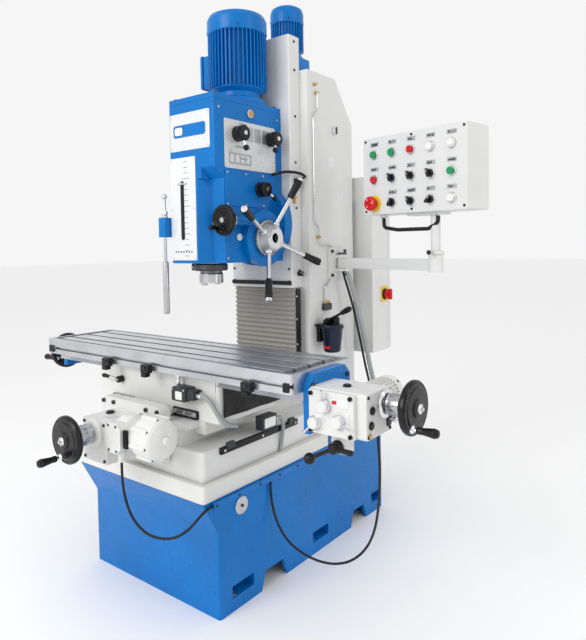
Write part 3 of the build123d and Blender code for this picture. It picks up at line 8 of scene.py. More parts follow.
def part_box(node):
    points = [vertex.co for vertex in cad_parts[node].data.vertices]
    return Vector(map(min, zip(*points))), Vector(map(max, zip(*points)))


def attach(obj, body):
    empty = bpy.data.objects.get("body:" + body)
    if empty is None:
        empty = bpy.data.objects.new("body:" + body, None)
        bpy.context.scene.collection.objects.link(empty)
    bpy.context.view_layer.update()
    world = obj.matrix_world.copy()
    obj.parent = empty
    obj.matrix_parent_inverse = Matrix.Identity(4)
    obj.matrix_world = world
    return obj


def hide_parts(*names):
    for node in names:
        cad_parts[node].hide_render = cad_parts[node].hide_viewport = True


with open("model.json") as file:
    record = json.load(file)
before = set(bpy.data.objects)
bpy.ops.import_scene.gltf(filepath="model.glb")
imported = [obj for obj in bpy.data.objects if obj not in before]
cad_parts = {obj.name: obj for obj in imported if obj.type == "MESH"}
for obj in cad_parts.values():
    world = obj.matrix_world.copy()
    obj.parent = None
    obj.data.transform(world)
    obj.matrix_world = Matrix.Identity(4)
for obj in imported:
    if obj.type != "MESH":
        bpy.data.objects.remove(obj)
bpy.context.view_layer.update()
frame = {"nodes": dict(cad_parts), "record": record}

# Looks of a bed-type vertical milling machine. Shapes are worked out in millimetres in the
# frame's own axes (+X along the table, +Y towards the column, +Z up) and written in metres.
MM = 0.001
X, Y, Z = np.eye(3)


def box_mm(node):
    """A CAD node's lowest and highest corners, in millimetres."""
    low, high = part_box(node)
    return np.array(low) / MM, np.array(high) / MM


# ---------------------------------------------------------------- surfaces

class Shell:
    """Closed surfaces collected for one piece: vertices in mm, faces, and a finish per face."""

    def __init__(self):
        self.points = []
        self.faces = []
        self.finish = []
        self.count = 0

    def add(self, points, faces, finish=0):
        """Takes one closed surface, turned inside out if its volume comes out negative."""
        points = np.asarray(points, float).reshape(-1, 3)
        tris = [(f[0], f[k], f[k + 1]) for f in faces for k in range(1, len(f) - 1)]
        a, b, c = (points[[t[k] for t in tris]] for k in range(3))
        centre = points.mean(0)
        volume = np.einsum("ij,ij->i", a - centre, np.cross(b - centre, c - centre)).sum()
        if volume < 0:
            faces = [tuple(reversed(f)) for f in faces]
        self.points.append(points)
        self.faces += [tuple(int(k) + self.count for k in f) for f in faces]
        self.finish += [finish] * len(faces)
        self.count += len(points)
        return self


def band_faces(rows, cols, wrap_rows=False, wrap_cols=True):
    """Quads between neighbouring rows and columns of a grid of points."""
    i = np.arange(rows if wrap_rows else rows - 1)[:, None]
    j = np.arange(cols if wrap_cols else cols - 1)[None, :]
    right, down = (j + 1) % cols, (i + 1) % rows
    quads = np.stack(np.broadcast_arrays(i * cols + j, i * cols + right, down * cols + right,
        down * cols + j), -1)
    return [tuple(q) for q in quads.reshape(-1, 4).tolist()]


def closed_grid(shell, rows, finish=0, wrap_rows=False):
    """rows is (rings, points round, 3): rings joined by quads, with a flat cap on each end ring."""
    rings, around = rows.shape[:2]
    faces = band_faces(rings, around, wrap_rows)
    if not wrap_rows:
        faces.append(tuple(range(around)))
        faces.append(tuple(range((rings - 1) * around, rings * around))[::-1])
    return shell.add(rows, faces, finish)


def rounded(corners, radii, inset=0.0, steps=5):
    """Outline of a polygon, counter-clockwise, whose corners are arcs; inset moves every side inwards.
    A side moves along its normal by inset. A corner's arc keeps its centre, so a convex arc
    shrinks by inset and a concave one grows."""
    p = np.asarray(corners, float)
    count = len(p)
    radii = np.broadcast_to(np.asarray(radii, float), (count,))
    before, after = p - np.roll(p, 1, 0), np.roll(p, -1, 0) - p
    before /= np.linalg.norm(before, axis=1)[:, None]
    after /= np.linalg.norm(after, axis=1)[:, None]
    normal_in = np.stack([-before[:, 1], before[:, 0]], 1)
    normal_out = np.stack([-after[:, 1], after[:, 0]], 1)
    cross = before[:, 0] * after[:, 1] - before[:, 1] * after[:, 0]
    side = np.where(cross >= 0, 1.0, -1.0)
    half = 0.5 * np.arccos(np.clip((before * after).sum(1), -1, 1))
    out = []
    for k in range(count):
        radius = radii[k]
        centre = p[k] + (normal_in[k] + normal_out[k]) / (1 + normal_in[k] @ normal_out[k]) * radius * side[k]
        reach = max(radius - inset * side[k], 0.0)
        if radius - inset * side[k] < 0:
            centre = centre + (normal_in[k] + normal_out[k]) / (1 + normal_in[k] @ normal_out[k]) * (inset - radius)
        turn = np.linspace(-half[k], half[k], steps) * side[k]
        middle = -(normal_in[k] + normal_out[k]) * side[k]
        middle /= np.linalg.norm(middle)
        cs, sn = np.cos(turn), np.sin(turn)
        out.append(centre + reach * np.stack([middle[0] * cs - middle[1] * sn,
            middle[0] * sn + middle[1] * cs], 1))
    return np.concatenate(out)


def casting(shell, corners, radii, origin, across, up, depth, edge=2.0, finish=0, steps=5,
        ends=(True, True)):
    """A rounded outline carried along the normal of its plane, its two end edges rounded by a
    quarter circle: at angle t the outline is inset by edge x (1 - sin t), edge x (1 - cos t) deep."""
    origin, across, up = (np.asarray(v, float) for v in (origin, across, up))
    normal = np.cross(across, up)
    t = np.linspace(0, pi / 2, 4)
    insets, heights = edge * (1 - np.sin(t)), edge * (1 - np.cos(t))
    levels = [(i, h) for i, h in zip(insets, heights)] if ends[0] else [(0.0, 0.0)]
    levels += [(i, depth - h) for i, h in zip(insets[::-1], heights[::-1])] if ends[1] else [(0.0,
        depth)]
    rings = []
    for inset, height in levels:
        outline = rounded(corners, radii, inset, steps)
        rings.append(origin + outline[:, :1] * across + outline[:, 1:] * up + height * normal)
    return closed_grid(shell, np.array(rings), finish)


def block(shell, low, high, radius=3.0, edge=1.5, finish=0, along=2):
    """A box whose four edges along one axis are arcs and whose end edges are rounded."""
    low, high = np.asarray(low, float), np.asarray(high, float)
    a, b = [(1, 2), (2, 0), (0, 1)][along]
    size = high - low
    corners = [(0, 0), (size[a], 0), (size[a], size[b]), (0, size[b])]
    across, up = np.eye(3)[a], np.eye(3)[b]
    return casting(shell, corners, radius, low, across, up, size[along], edge, finish)


def fillet_line(points, radii, steps=4):
    """An open line whose inner corners are rounded by arcs of the given radii, as far as they fit."""
    p = np.asarray(points, float)
    radii = np.broadcast_to(np.asarray(radii, float), (len(p),))
    out = [p[0]]
    for k in range(1, len(p) - 1):
        a, b = p[k - 1] - p[k], p[k + 1] - p[k]
        la, lb = np.linalg.norm(a), np.linalg.norm(b)
        a, b = a / la, b / lb
        half = 0.5 * np.arccos(np.clip(a @ b, -0.9999, 0.9999))
        cut = min(radii[k] / tan(half), 0.45 * la, 0.45 * lb)
        if cut < 1e-4:
            out.append(p[k])
            continue
        s = np.linspace(0, 1, steps)[:, None]
        start, end = p[k] + a * cut, p[k] + b * cut
        out += list((1 - s) ** 2 * start + 2 * s * (1 - s) * p[k] + s**2 * end)
    return np.array(out + [p[-1]])


def turned(shell, profile, origin, axis, soft=1.0, around=48, finish=0, ring=False):
    """A profile of (radius, height) points, its corners softened, turned about an axis:
    point = origin + axis x height + radius x (cos a, sin a) in the plane across the axis."""
    line = fillet_line(profile, soft)
    axis = np.asarray(axis, float) / np.linalg.norm(axis)
    across = np.cross(axis, X if abs(axis[0]) < 0.9 else Y)
    across /= np.linalg.norm(across)
    third = np.cross(axis, across)
    angle = np.linspace(0, 2 * pi, around, endpoint=False)
    round_dir = np.cos(angle)[:, None] * across + np.sin(angle)[:, None] * third
    if not ring:
        line = line[line[:, 0] > 1e-6]
    rows = np.asarray(origin, float) + line[:, None, 1:] * axis + line[:, None, :1] * round_dir
    return closed_grid(shell, rows, finish, wrap_rows=ring)


def along_path(shell, path, radius, around=12, finish=0, ends=0.0):
    """A round section carried along a path. Each ring stands square to the path, turned from
    the ring before by the least rotation; radius may be one number or one for each point."""
    path = np.asarray(path, float)
    radius = np.broadcast_to(np.asarray(radius, float), (len(path),)).copy()
    tangent = np.gradient(path, axis=0)
    tangent /= np.linalg.norm(tangent, axis=1)[:, None]
    side = np.cross(tangent[0], Z if abs(tangent[0, 2]) < 0.9 else X)
    side /= np.linalg.norm(side)
    angle = np.linspace(0, 2 * pi, around, endpoint=False)
    rings = []
    for point, forward, r in zip(path, tangent, radius):
        side = side - forward * (side @ forward)
        side /= np.linalg.norm(side)
        rings.append(point + r * (np.cos(angle)[:, None] * side + np.sin(angle)[:,
            None] * np.cross(forward, side)))
    if ends:
        first = rings[0].mean(0) + (rings[0] - rings[0].mean(0)) * 0.7 - tangent[0] * ends
        last = rings[-1].mean(0) + (rings[-1] - rings[-1].mean(0)) * 0.7 + tangent[-1] * ends
        rings = [first] + rings + [last]
    return closed_grid(shell, np.array(rings), finish)


def flowing(points, per_span=8):
    """A Catmull-Rom curve through the points."""
    p = np.asarray(points, float)
    p = np.vstack([2 * p[0] - p[1], p, 2 * p[-1] - p[-2]])
    t = np.linspace(0, 1, per_span, endpoint=False)[:, None]
    spans = []
    for a, b, c, d in zip(p, p[1:], p[2:], p[3:]):
        spans.append(0.5 * (2 * b + (c - a) * t + (2 * a - 5 * b + 4 * c - d) * t**2 + (3 * b - a - 3 * c + d) * t**3))
    return np.vstack(spans + [p[-2:-1]])


def ball(shell, centre, radius, around=20, finish=0, squash=1.0, axis=Z):
    """A ball from rings of latitude, flattened along its axis by squash."""
    t = np.linspace(0.04, pi - 0.04, around // 2 + 1)
    profile = np.stack([radius * np.sin(t), -radius * squash * np.cos(t)], 1)
    return turned(shell, profile, centre, axis, 0, around, finish)


def cap_screw(shell, centre, axis, radius=5.0, height=None, finish=0):
    """A socket head screw: a softened drum with a hollow six-sided look in its end."""
    height = radius if height is None else height
    profile = [(radius, -0.6), (radius, height), (radius * 0.5, height), (radius * 0.48, height * 0.35)]
    return turned(shell, profile, centre, axis, radius * 0.14, 12, finish)


def piece(name, shell, body, finishes, replaces=(), sharp=35):
    """Writes a shell as one mesh object, in metres, that rides on a body."""
    mesh = bpy.data.meshes.new(name)
    points = np.concatenate(shell.points) * MM
    mesh.from_pydata(points, [], shell.faces)
    for finish in finishes:
        mesh.materials.append(finish)
    mesh.polygons.foreach_set("material_index", np.array(shell.finish, dtype=np.int32))
    mesh.shade_smooth()
    mesh.set_sharp_from_angle(angle=radians(sharp))
    mesh.update()
    made = bpy.data.objects.new(name, mesh)
    bpy.context.scene.collection.objects.link(made)
    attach(made, body)
    if replaces:
        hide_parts(*replaces)
    return made


# ---------------------------------------------------------------- finishes

class Value:
    """A number on a shader socket; Python's operators add Math nodes."""

    def __init__(self, finish, socket):
        self.finish = finish
        self.socket = socket

    def math(self, operation, *others):
        numbers = [self] + list(others)
        return self.finish.node("ShaderNodeMath", {"operation": operation}, dict(enumerate(numbers)))

    def __add__(self, other):
        return self.math("ADD", other)

    def __sub__(self, other):
        return self.math("SUBTRACT", other)

    def __mul__(self, other):
        return self.math("MULTIPLY", other)

    def __truediv__(self, other):
        return self.math("DIVIDE", other)

    def __rsub__(self, other):
        return self.finish.node("ShaderNodeMath", {"operation": "SUBTRACT"}, {0: other, 1: self})

    __radd__ = __add__
    __rmul__ = __mul__

    def above(self, limit):
        return self.math("GREATER_THAN", limit)

    def fraction(self):
        return self.math("FRACT")

    def size(self):
        return self.math("ABSOLUTE")


class Finish:
    """A procedural material: node() adds any node, the rest are a maker's common patterns."""

    def __init__(self, name, **base):
        self.material = bpy.data.materials.new(name)
        self.material.use_nodes = True
        self.tree = self.material.node_tree
        self.shader = self.tree.nodes["Principled BSDF"]
        for socket, value in base.items():
            self.set(socket.replace("_", " ").title().replace("Ior", "IOR"), value)

    def set(self, socket, value):
        target = self.shader.inputs[socket]
        if isinstance(value, Value):
            self.tree.links.new(value.socket, target)
        elif isinstance(value, (tuple, list)):
            target.default_value = (*value, 1.0)[:4]
        else:
            target.default_value = value

    def node(self, kind, settings=None, inputs=None, output=0):
        made = self.tree.nodes.new(kind)
        for key, value in (settings or {}).items():
            if key == "stops":
                ramp = made.color_ramp.elements
                while len(ramp) < len(value):
                    ramp.new(0.5)
                for stop, (place, colour) in zip(ramp, value):
                    stop.position = place
                    stop.color = (*colour, 1.0)
            else:
                setattr(made, key, value)
        for key, value in (inputs or {}).items():
            if isinstance(value, Value):
                self.tree.links.new(value.socket, made.inputs[key])
            elif isinstance(value, (tuple, list)):
                target = made.inputs[key]
                target.default_value = (*value, 1.0)[: len(target.default_value)]
            else:
                made.inputs[key].default_value = value
        return Value(self, made.outputs[output])

    def place(self, scale=(1, 1, 1), turn=(0, 0, 0), shift=(0, 0, 0)):
        """Object coordinates in metres, scaled, turned and shifted by a Mapping node."""
        spot = self.node("ShaderNodeTexCoord", output=3)
        return self.node("ShaderNodeMapping", {}, {0: spot, "Location": shift, "Rotation": turn,
            "Scale": scale})

    def axes(self, scale=(1, 1, 1), turn=(0, 0, 0), shift=(0, 0, 0)):
        """The three Object coordinates as values."""
        spot = self.place(scale, turn, shift)
        parts = self.tree.nodes.new("ShaderNodeSeparateXYZ")
        self.tree.links.new(spot.socket, parts.inputs[0])
        return [Value(self, out) for out in parts.outputs]

    def noise(self, scale, detail=3, stretch=(1, 1, 1), rough=0.5, turn=(0, 0, 0)):
        """Noise between 0 and 1, scale in cells per metre."""
        spot = self.place(stretch, turn)
        return self.node("ShaderNodeTexNoise", {}, {"Vector": spot, "Scale": scale, "Detail": detail,
            "Roughness": rough})

    def ramp(self, value, low, high, start=0.0, end=1.0):
        """Maps start..end of a value to low..high."""
        return self.node("ShaderNodeMapRange", {}, {0: value, 1: start, 2: end, 3: low, 4: high})

    def mix(self, factor, first, second):
        """A colour between two colours."""
        return self.node("ShaderNodeMix", {"data_type": "RGBA"}, {0: factor, 6: first, 7: second}, 2)

    def bump(self, height, strength, distance=0.0005, normal=None):
        inputs = {"Height": height, "Strength": strength, "Distance": distance}
        if normal is not None:
            inputs["Normal"] = normal
        return self.node("ShaderNodeBump", {}, inputs)


def enamel(name, colour, dark=0.9, rough=0.3, coat=0.35, shine=0.4):
    """Sprayed machine enamel: a faint orange peel, cloudy gloss and a slight shift of shade."""
    made = Finish(name, base_color=colour, roughness=rough, coat_weight=coat, coat_roughness=0.12)
    made.shader.inputs["Specular IOR Level"].default_value = shine
    cloud = made.noise(5, 4)
    peel = made.noise(90, 2)
    shade = made.ramp(cloud, 0, 1, 0.3, 0.7)
    made.set("Base Color", made.mix(shade, tuple(c * dark for c in colour), colour))
    made.set("Roughness", made.ramp(made.noise(40, 4), rough * 0.8, rough * 1.3, 0.3, 0.7))
    made.set("Normal", made.bump(peel, 0.02, 0.0003))
    return made.material


def ground_metal(name, colour, rough, grain, stretch, metallic=1.0, depth=0.12):
    """Machined metal: fine cutter marks drawn out along one direction, with patchy brightness."""
    made = Finish(name, base_color=colour, roughness=rough, metallic=metallic)
    marks = made.noise(grain, 5, stretch, 0.6)
    patch = made.noise(14, 3)
    made.set("Base Color", made.mix(made.ramp(patch, 0, 1, 0.3, 0.7), tuple(c * 0.82 for c in colour),
        colour))
    made.set("Roughness", made.ramp(marks, rough * 0.7, rough * 1.4, 0.3, 0.7))
    made.set("Normal", made.bump(marks, depth, 0.0004))
    return made.material


def moulded(name, colour, rough=0.3, grain=900, depth=0.06, **extra):
    """Moulded plastic or phenolic: an even colour with a very fine skin."""
    made = Finish(name, base_color=colour, roughness=rough, **extra)
    made.shader.inputs["Specular IOR Level"].default_value = 0.3
    made.set("Roughness", made.ramp(made.noise(60, 3), rough * 0.8, rough * 1.35, 0.3, 0.7))
    made.set("Normal", made.bump(made.noise(grain, 2), depth, 0.0003))
    return made.material


BLUE = (0.0005, 0.165, 0.52)
blue = enamel("blue enamel", BLUE, 0.82, 0.30, 0.06, 0.2)
white = enamel("cream enamel", (0.70, 0.70, 0.675), 0.94, 0.34, 0.25)
panel_white = enamel("white powder coat", (0.70, 0.70, 0.69), 0.95, 0.4, 0.0)
iron = ground_metal("scraped iron", (0.52, 0.52, 0.54), 0.34, 60, (6, 90, 90))
table_steel = ground_metal("ground table", (0.64, 0.65, 0.68), 0.30, 50, (3, 60, 60), depth=0.05)
steel = ground_metal("turned steel", (0.58, 0.58, 0.60), 0.24, 120, (1, 1, 6), depth=0.05)
dark_steel = ground_metal("blackened steel", (0.09, 0.09, 0.10), 0.38, 120, (1, 1, 6), depth=0.06)
chrome = ground_metal("polished chrome", (0.78, 0.78, 0.80), 0.10, 90, (1, 1, 1), depth=0.01)
brass = ground_metal("brass", (0.62, 0.42, 0.14), 0.28, 90, (1, 1, 4), depth=0.04)
alloy = ground_metal("cast alloy", (0.46, 0.47, 0.48), 0.45, 300, (1, 1, 1), depth=0.15)
black = moulded("black phenolic", (0.006, 0.006, 0.007), 0.22)
rubber = moulded("black rubber", (0.010, 0.010, 0.011), 0.5, 500, 0.2)
dark_case = moulded("dark grey case", (0.035, 0.037, 0.042), 0.4)
grey_hose = moulded("grey conduit", (0.33, 0.34, 0.35), 0.5, 400, 0.1)
bellows_skin = moulded("bellows cloth", (0.36, 0.34, 0.32), 0.6, 700, 0.25)
red = moulded("red plastic", (0.60, 0.010, 0.012), 0.25)
green = moulded("green plastic", (0.010, 0.28, 0.09), 0.25)
ivory = moulded("white plastic", (0.80, 0.80, 0.77), 0.3)
yellow = moulded("yellow plate", (0.85, 0.56, 0.02), 0.4)
oil_cup = moulded("oil reservoir", (0.006, 0.009, 0.028), 0.12)
sight = moulded("oil sight glass", (0.55, 0.30, 0.06), 0.06)


def ticked(name, base, mark, rows, pitch, length, across, along, at, rough=0.35, metallic=0.0,
        longer=5):
    """A plate with a ruled scale: ticks of the given length start at a coordinate along `across`
    and repeat every pitch metres along `along`; every fifth one is longer."""
    made = Finish(name, base_color=base, roughness=rough, metallic=metallic)
    spots = made.axes()
    step = spots[along] / pitch
    line = (step.fraction() - 0.5).size().above(0.42)
    fifth = ((step / longer).fraction() - 0.5).size().above(0.5 - 0.6 / longer)
    reach = fifth * length + length
    depth = (spots[across] - at).size() * rows
    made.set("Base Color", made.mix(line * depth.math("LESS_THAN", reach), base, mark))
    made.set("Roughness", made.ramp(made.noise(60, 3), rough * 0.8, rough * 1.3, 0.3, 0.7))
    return made.material


def dial(name, axis, centre, count):
    """A turned collar with ticks round its rim: the angle about its axis, cut into count parts."""
    made = Finish(name, base_color=(0.55, 0.55, 0.57), roughness=0.22, metallic=1.0)
    shift = tuple(-c * MM for c in centre)
    spots = made.axes(shift=shift)
    first, second = [spots[k] for k in range(3) if k != axis]
    turn = first.math("ARCTAN2", second) * (count / (2 * pi))
    line = (turn.fraction() - 0.5).size().above(0.36)
    made.set("Base Color", made.mix(line, (0.55, 0.55, 0.57), (0.03, 0.03, 0.035)))
    made.set("Metallic", 1.0 - line)
    made.set("Roughness", made.ramp(made.noise(60, 3), 0.18, 0.3, 0.3, 0.7))
    return made.material


# ---------------------------------------------------------------- castings

def finished(node, finish, width=1.6, segments=2, body=None, angle=35):
    """A casting's own shape with its edges eased: the CAD mesh merged, its flat facets joined,
    and a Bevel modifier laid on the edges sharper than the angle."""
    source = frame["nodes"][node]
    mesh = source.data.copy()
    import bmesh
    work = bmesh.new()
    work.from_mesh(mesh)
    bmesh.ops.remove_doubles(work, verts=work.verts, dist=2e-6)
    bmesh.ops.dissolve_limit(work, angle_limit=radians(0.6), verts=work.verts, edges=work.edges)
    work.to_mesh(mesh)
    work.free()
    mesh.name = "finished_" + node
    mesh.materials.clear()
    mesh.materials.append(finish)
    mesh.shade_smooth()
    mesh.set_sharp_from_angle(angle=radians(angle))
    made = bpy.data.objects.new("finished_" + node, mesh)
    bpy.context.scene.collection.objects.link(made)
    ease = made.modifiers.new("eased edges", "BEVEL")
    ease.width = width * MM
    ease.segments = segments
    ease.limit_method = "ANGLE"
    ease.angle_limit = radians(angle)
    ease.use_clamp_overlap = True
    ease.harden_normals = False
    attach(made, body or BODY_OF[node])
    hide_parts(node)
    return made


BODY_OF = {}
for body_name, held_nodes in frame["record"]["behaviour"]["bodies"].items():
    for held in held_nodes:
        BODY_OF[held] = body_name
SLOT_OF = {part["node"]: part["material_slot"] for part in frame["record"]["subparts"]}

plain = {
    "blue_paint": blue, "cream_paint": white, "white_paint": panel_white, "machined_iron": iron,
    "blue_plate": blue, "bright_steel": steel, "black_plastic": black, "chrome_steel": chrome,
    "bellows_sheet": bellows_skin, "cable_rubber": rubber, "red_plastic": red,
    "green_plastic": green, "white_plastic": ivory, "selector_plastic": black,
}
for node, cad in frame["nodes"].items():
    cad.data.materials.clear()
    cad.data.materials.append(plain[SLOT_OF[node]])

for node in ("base_plinth", "coolant_tray", "bed_casting", "saddle", "vertical_slide", "head_casting",
             "head_lid", "column_casting", "y_drive_housing", "x_gearbox", "table_end_plates"):
    finished(node, plain[SLOT_OF[node]], 2.2, 3)
for node in ("electrical_cabinet", "cabinet_door", "control_box", "arm_bracket", "pendant_arm"):
    finished(node, plain[SLOT_OF[node]], 1.5, 3)
finished("table", table_steel, 0.8, 2)

# ---------------------------------------------------------------- motors

def finned(shell, origin, axis, first, length, root, tip, count, finish=0):
    """A finned motor body: radius = root + (tip - root) x fin(angle), where fin is a narrow
    flat-topped pulse repeated count times round, carried along the axis."""
    axis = np.asarray(axis, float)
    first = np.asarray(first, float)
    second = np.cross(axis, first)
    pulse = np.array([0, 0, 1, 1, 0, 0])
    place = np.array([0.0, 0.30, 0.38, 0.62, 0.70, 0.999])
    angle = 2 * pi * (np.arange(count)[:, None] + place[None, :]).ravel() / count
    radius = root + (tip - root) * np.tile(pulse, count)
    ring = np.cos(angle)[:, None] * first + np.sin(angle)[:, None] * second
    rows = [np.asarray(origin, float) + axis * h + ring * radius[:, None] for h in (0, length)]
    return closed_grid(shell, np.array(rows), finish)


def motor(name, body, origin, axis, first, length, radius, fins, finish, cover=72, foot=40,
        node=None, flange=1.0, extra=None):
    """A flange motor: flange, neck, finned body and a domed fan cover with a vent pattern."""
    shell = Shell()
    axis = np.asarray(axis, float)
    turned(shell, [(0, 0), (radius * 0.93 * flange, 0), (radius * 0.93 * flange, foot * 0.35),
        (radius * 0.72, foot * 0.5),
                   (radius * 0.72, foot * 0.8), (radius * 0.9, foot), (radius * 0.9, foot + 8),
                       (0, foot + 8)], origin, axis, 3)
    finned(shell, origin + axis * (foot + 4), axis, first, length - cover - foot, radius * 0.86,
        radius * 0.985, fins)
    end = length - 2
    turned(shell, [(0, length - cover), (radius * 0.93, length - cover), (radius, length - cover + 2),
        (radius, end - 26),
                   (radius * 0.93, end - 9), (radius * 0.74, end), (0, end)], origin, axis, 6, 64)
    first = np.asarray(first, float)
    second = np.cross(axis, first)
    for k in range(4):
        a = pi / 4 + k * pi / 2
        side = first * cos(a) + second * sin(a)
        cap_screw(shell, origin + axis * (length - cover + 14) + side * (radius - 0.5), side, 4, 2, 1)
        cap_screw(shell, origin + axis * foot * 0.35 + side * radius * 0.82, axis, 7, 7, 1)
    for ring in range(3):
        r = radius * (0.2 + 0.17 * ring)
        turned(shell, [(r, end - 1.5), (r, end + 1.2), (r + 4, end + 1.2), (r + 4, end - 1.5)], origin,
            axis, 0.5, 48, 2, ring=True)
    if extra:
        extra(shell)
    return piece(name, shell, body, [finish, dark_steel, black], [node] if node else ())


low, high = box_mm("spindle_motor")
motor_axis = np.array([0.0, (low[1] + high[1]) / 2, low[2]])
motor_radius = (high[1] - low[1]) / 2


def spindle_box(shell):
    """Terminal box on the motor's left side, with its lid and screws."""
    block(shell, (low[0] + 10, motor_axis[1] - 45, low[2] + 91),
        (-motor_radius + 12, motor_axis[1] + 45, low[2] + 216), 8, 4)
    block(shell, (low[0], motor_axis[1] - 49, low[2] + 88), (low[0] + 12, motor_axis[1] + 49,
        low[2] + 220), 8, 3, 0, 0)
    for dy in (-41, 41):
        for dz in (97, 211):
            cap_screw(shell, (low[0] + 0.5, motor_axis[1] + dy, low[2] + dz), -X, 4, 1.5, 1)


motor("spindle_motor_body", "head", motor_axis, Z, X, high[2] - low[2], motor_radius, 44,
    blue,
      82, 62, "spindle_motor", 1.0, spindle_box)

low, high = box_mm("lift_drive")
lift_motor = np.array([0.0, 282.0, low[2] + 100])
lift = Shell()
block(lift, (-95, 165, low[2]), (95, 345, low[2] + 16), 8, 3)
block(lift, (-75, 175, low[2] + 15), (75, 345, low[2] + 100), 10, 4)
turned(lift, [(0, 0), (30, 0), (30, 5), (0, 5)], (0, 215, low[2] + 98), Z, 1.5, 32)
for sx in (-1, 1):
    for y in (178, 332):
        cap_screw(lift, (sx * 85, y, low[2] + 16), Z, 7, 7, 1)
    for y in (188, 330):
        cap_screw(lift, (sx * 62, y, low[2] + 100), Z, 5, 4, 1)
piece("lift_gearbox", lift, "base", [blue, dark_steel])
motor("lift_motor", "base", lift_motor, Z, X, high[2] - lift_motor[2], 71, 34, blue, 76,
    30, "lift_drive")

low, high = box_mm("x_feed_motor")
spot = np.array([(low[0] + high[0]) / 2, low[1], (low[2] + high[2]) / 2])
motor("x_feed_motor_body", "table", spot - (8, 0, 14), Y, X, high[1] - low[1], 47, 30,
    white,
      42, 16, "x_feed_motor")

low, high = box_mm("y_feed_motor")
y_axis = np.array([low[0], -650.0, 591.0])
cross = Shell()
turned(cross, [(0, 0), (46, 0), (46, 14), (54, 18), (54, 60), (50, 64), (50, 100), (56, 106), (58, 112),
    (62, 116), (63, 122),
               (63, 176), (60, 184), (52, 190), (30, 196), (0, 197)], y_axis, X, 4, 64, 0)
for k in range(8):
    a = 2 * pi * k / 8 + 0.2
    out = np.array([0, cos(a), sin(a)])
    turned(cross, [(0, 0), (8, 0), (9, 8), (9, 60), (6, 66), (0, 66)], y_axis + X * 112 + out * 60, X,
        2, 20, 0)
    cap_screw(cross, y_axis + X * 178 + out * 60, X, 4, 3, 1)
    along_path(cross, [y_axis + X * 190 + out * 14, y_axis + X * 187 + out * 52], [3, 4], 10, 0)
for k in range(5):
    turned(cross, [(50, 0), (55, 1), (55, 4), (50, 5)], y_axis + X * (66 + 8 * k), X, 0.5, 56, 0,
        ring=True)
turned(cross, [(0, 0), (13, 0), (13, 8), (9, 12), (0, 12)], y_axis + X * 196, X, 1, 32, 0)
corner = [(0, 16), (16, 0), (52, 0), (68, 16), (68, 70), (52, 86), (16, 86), (0, 70)]
casting(cross, corner, 3, (66, y_axis[1] - 30, 546), X, Z, 34, 3)
casting(cross, [(a * 1.08 - 3, b * 1.06 - 3) for a, b in corner], 3, (66, y_axis[1] - 64, 546), X, Z, 6,
    2)
for dx, dz in ((16, 6), (52, 6), (16, 80), (52, 80)):
    cap_screw(cross, (66 + dx, y_axis[1] - 70, 546 + dz), -Y, 4, 1.5, 1)
turned(cross, [(0, 0), (15, 0), (15, 10), (11, 13), (11, 34), (0, 34)], (105, y_axis[1] - 43, 546), -Z,
    1, 8)
piece("y_feed_motor_body", cross, "base", [white, dark_steel], ["y_feed_motor"])
plate = Shell()
block(plate, (138, y_axis[1] - 60, 562), (156, y_axis[1] - 54, 618), 3, 0.6, 0, 1)
piece("y_motor_plate", plate, "base", [black])

# ---------------------------------------------------------------- handwheels and levers

def handwheel(name, body, centre, axis, crank, radius=72.0, node=None, reach=92.0, dish=34.0):
    """A dished handwheel with a rounded rim, a bright centre and a revolving grip on its crank stud."""
    axis, crank = np.asarray(axis, float), np.asarray(crank, float)
    shell = Shell()
    hub = np.asarray(centre, float)
    turned(shell, [(13, -4), (30, -4), (32, 2), (26, 8), (26, 12), (radius - 20, 14), (radius - 12, 2),
        (radius - 5, -4),
                   (radius, 3), (radius, 12), (radius - 6, 18), (radius - 14, 17), (radius - 19, 20),
                       (27, 19), (25, 24), (13, 24)],
           hub, axis, 3.5, 72, 0, ring=True)
    turned(shell, [(0, 8), (13.5, 8), (13.5, 28), (9, 31), (0, 31)], hub, axis, 1.2, 32, 1)
    turned(shell, [(0, 30), (5, 30), (5, 36), (0, 36)], hub, axis, 0.8, 6, 1)
    stud = hub + crank * (radius - 16)
    turned(shell, [(0, 8), (11, 8), (11, 22), (7, 25), (5.5, 26), (5.5, 34), (0, 34)], stud, axis, 1,
        24, 1)
    turned(shell, [(0, 32), (8, 32), (10, 38), (9, 50), (12.5, 76), (13, reach - 12), (10, reach - 2),
        (4, reach), (0, reach)],
           stud, axis, 4, 28, 0)
    return piece(name, shell, body, [black, chrome], [node] if node else ())


low, high = box_mm("x_handwheels")
screw = np.array([0.0, -384.0, 730.0])
crank_left = np.array([0, -sin(radians(60)), -cos(radians(60))])
crank_right = np.array([0, -sin(radians(35)), -cos(radians(35))])
handwheel("left_handwheel", "x_screw", (-668, *screw[1:]), -X, crank_left,
    node="x_handwheels")
handwheel("right_handwheel", "x_screw", (905, *screw[1:]), X, crank_right)
handwheel("cross_handwheel", "y_screw", (0, -797, 588), -Y,
    np.array([-0.35, 0, -0.937]), node="y_handwheel")


def collar(name, body, centre, axis, index, radius, length, count=60):
    """A graduated collar with a knurled edge behind it and a thin grip ring."""
    shell = Shell()
    turned(shell, [(0, 0), (radius, 0), (radius, length), (radius - 6, length + 3), (0, length + 3)],
        centre, axis, 0.8, 64)
    turned(shell, [(radius * 0.5, -8), (radius * 0.86, -8), (radius * 0.86, 1), (radius * 0.5, 1)],
        centre, axis, 0.8, 48, 1, ring=True)
    return piece(name, shell, body, [dial(name + " rim", index, centre, count), steel])


collar("cross_dial", "y_screw", (0, -752, 588), -Y, 1, 32, 26)
collar("right_dial", "x_screw", (852, -384, 730), X, 0, 30, 30)
collar("left_dial", "x_screw", (-622, -384, 730), -X, 0, 30, 26)


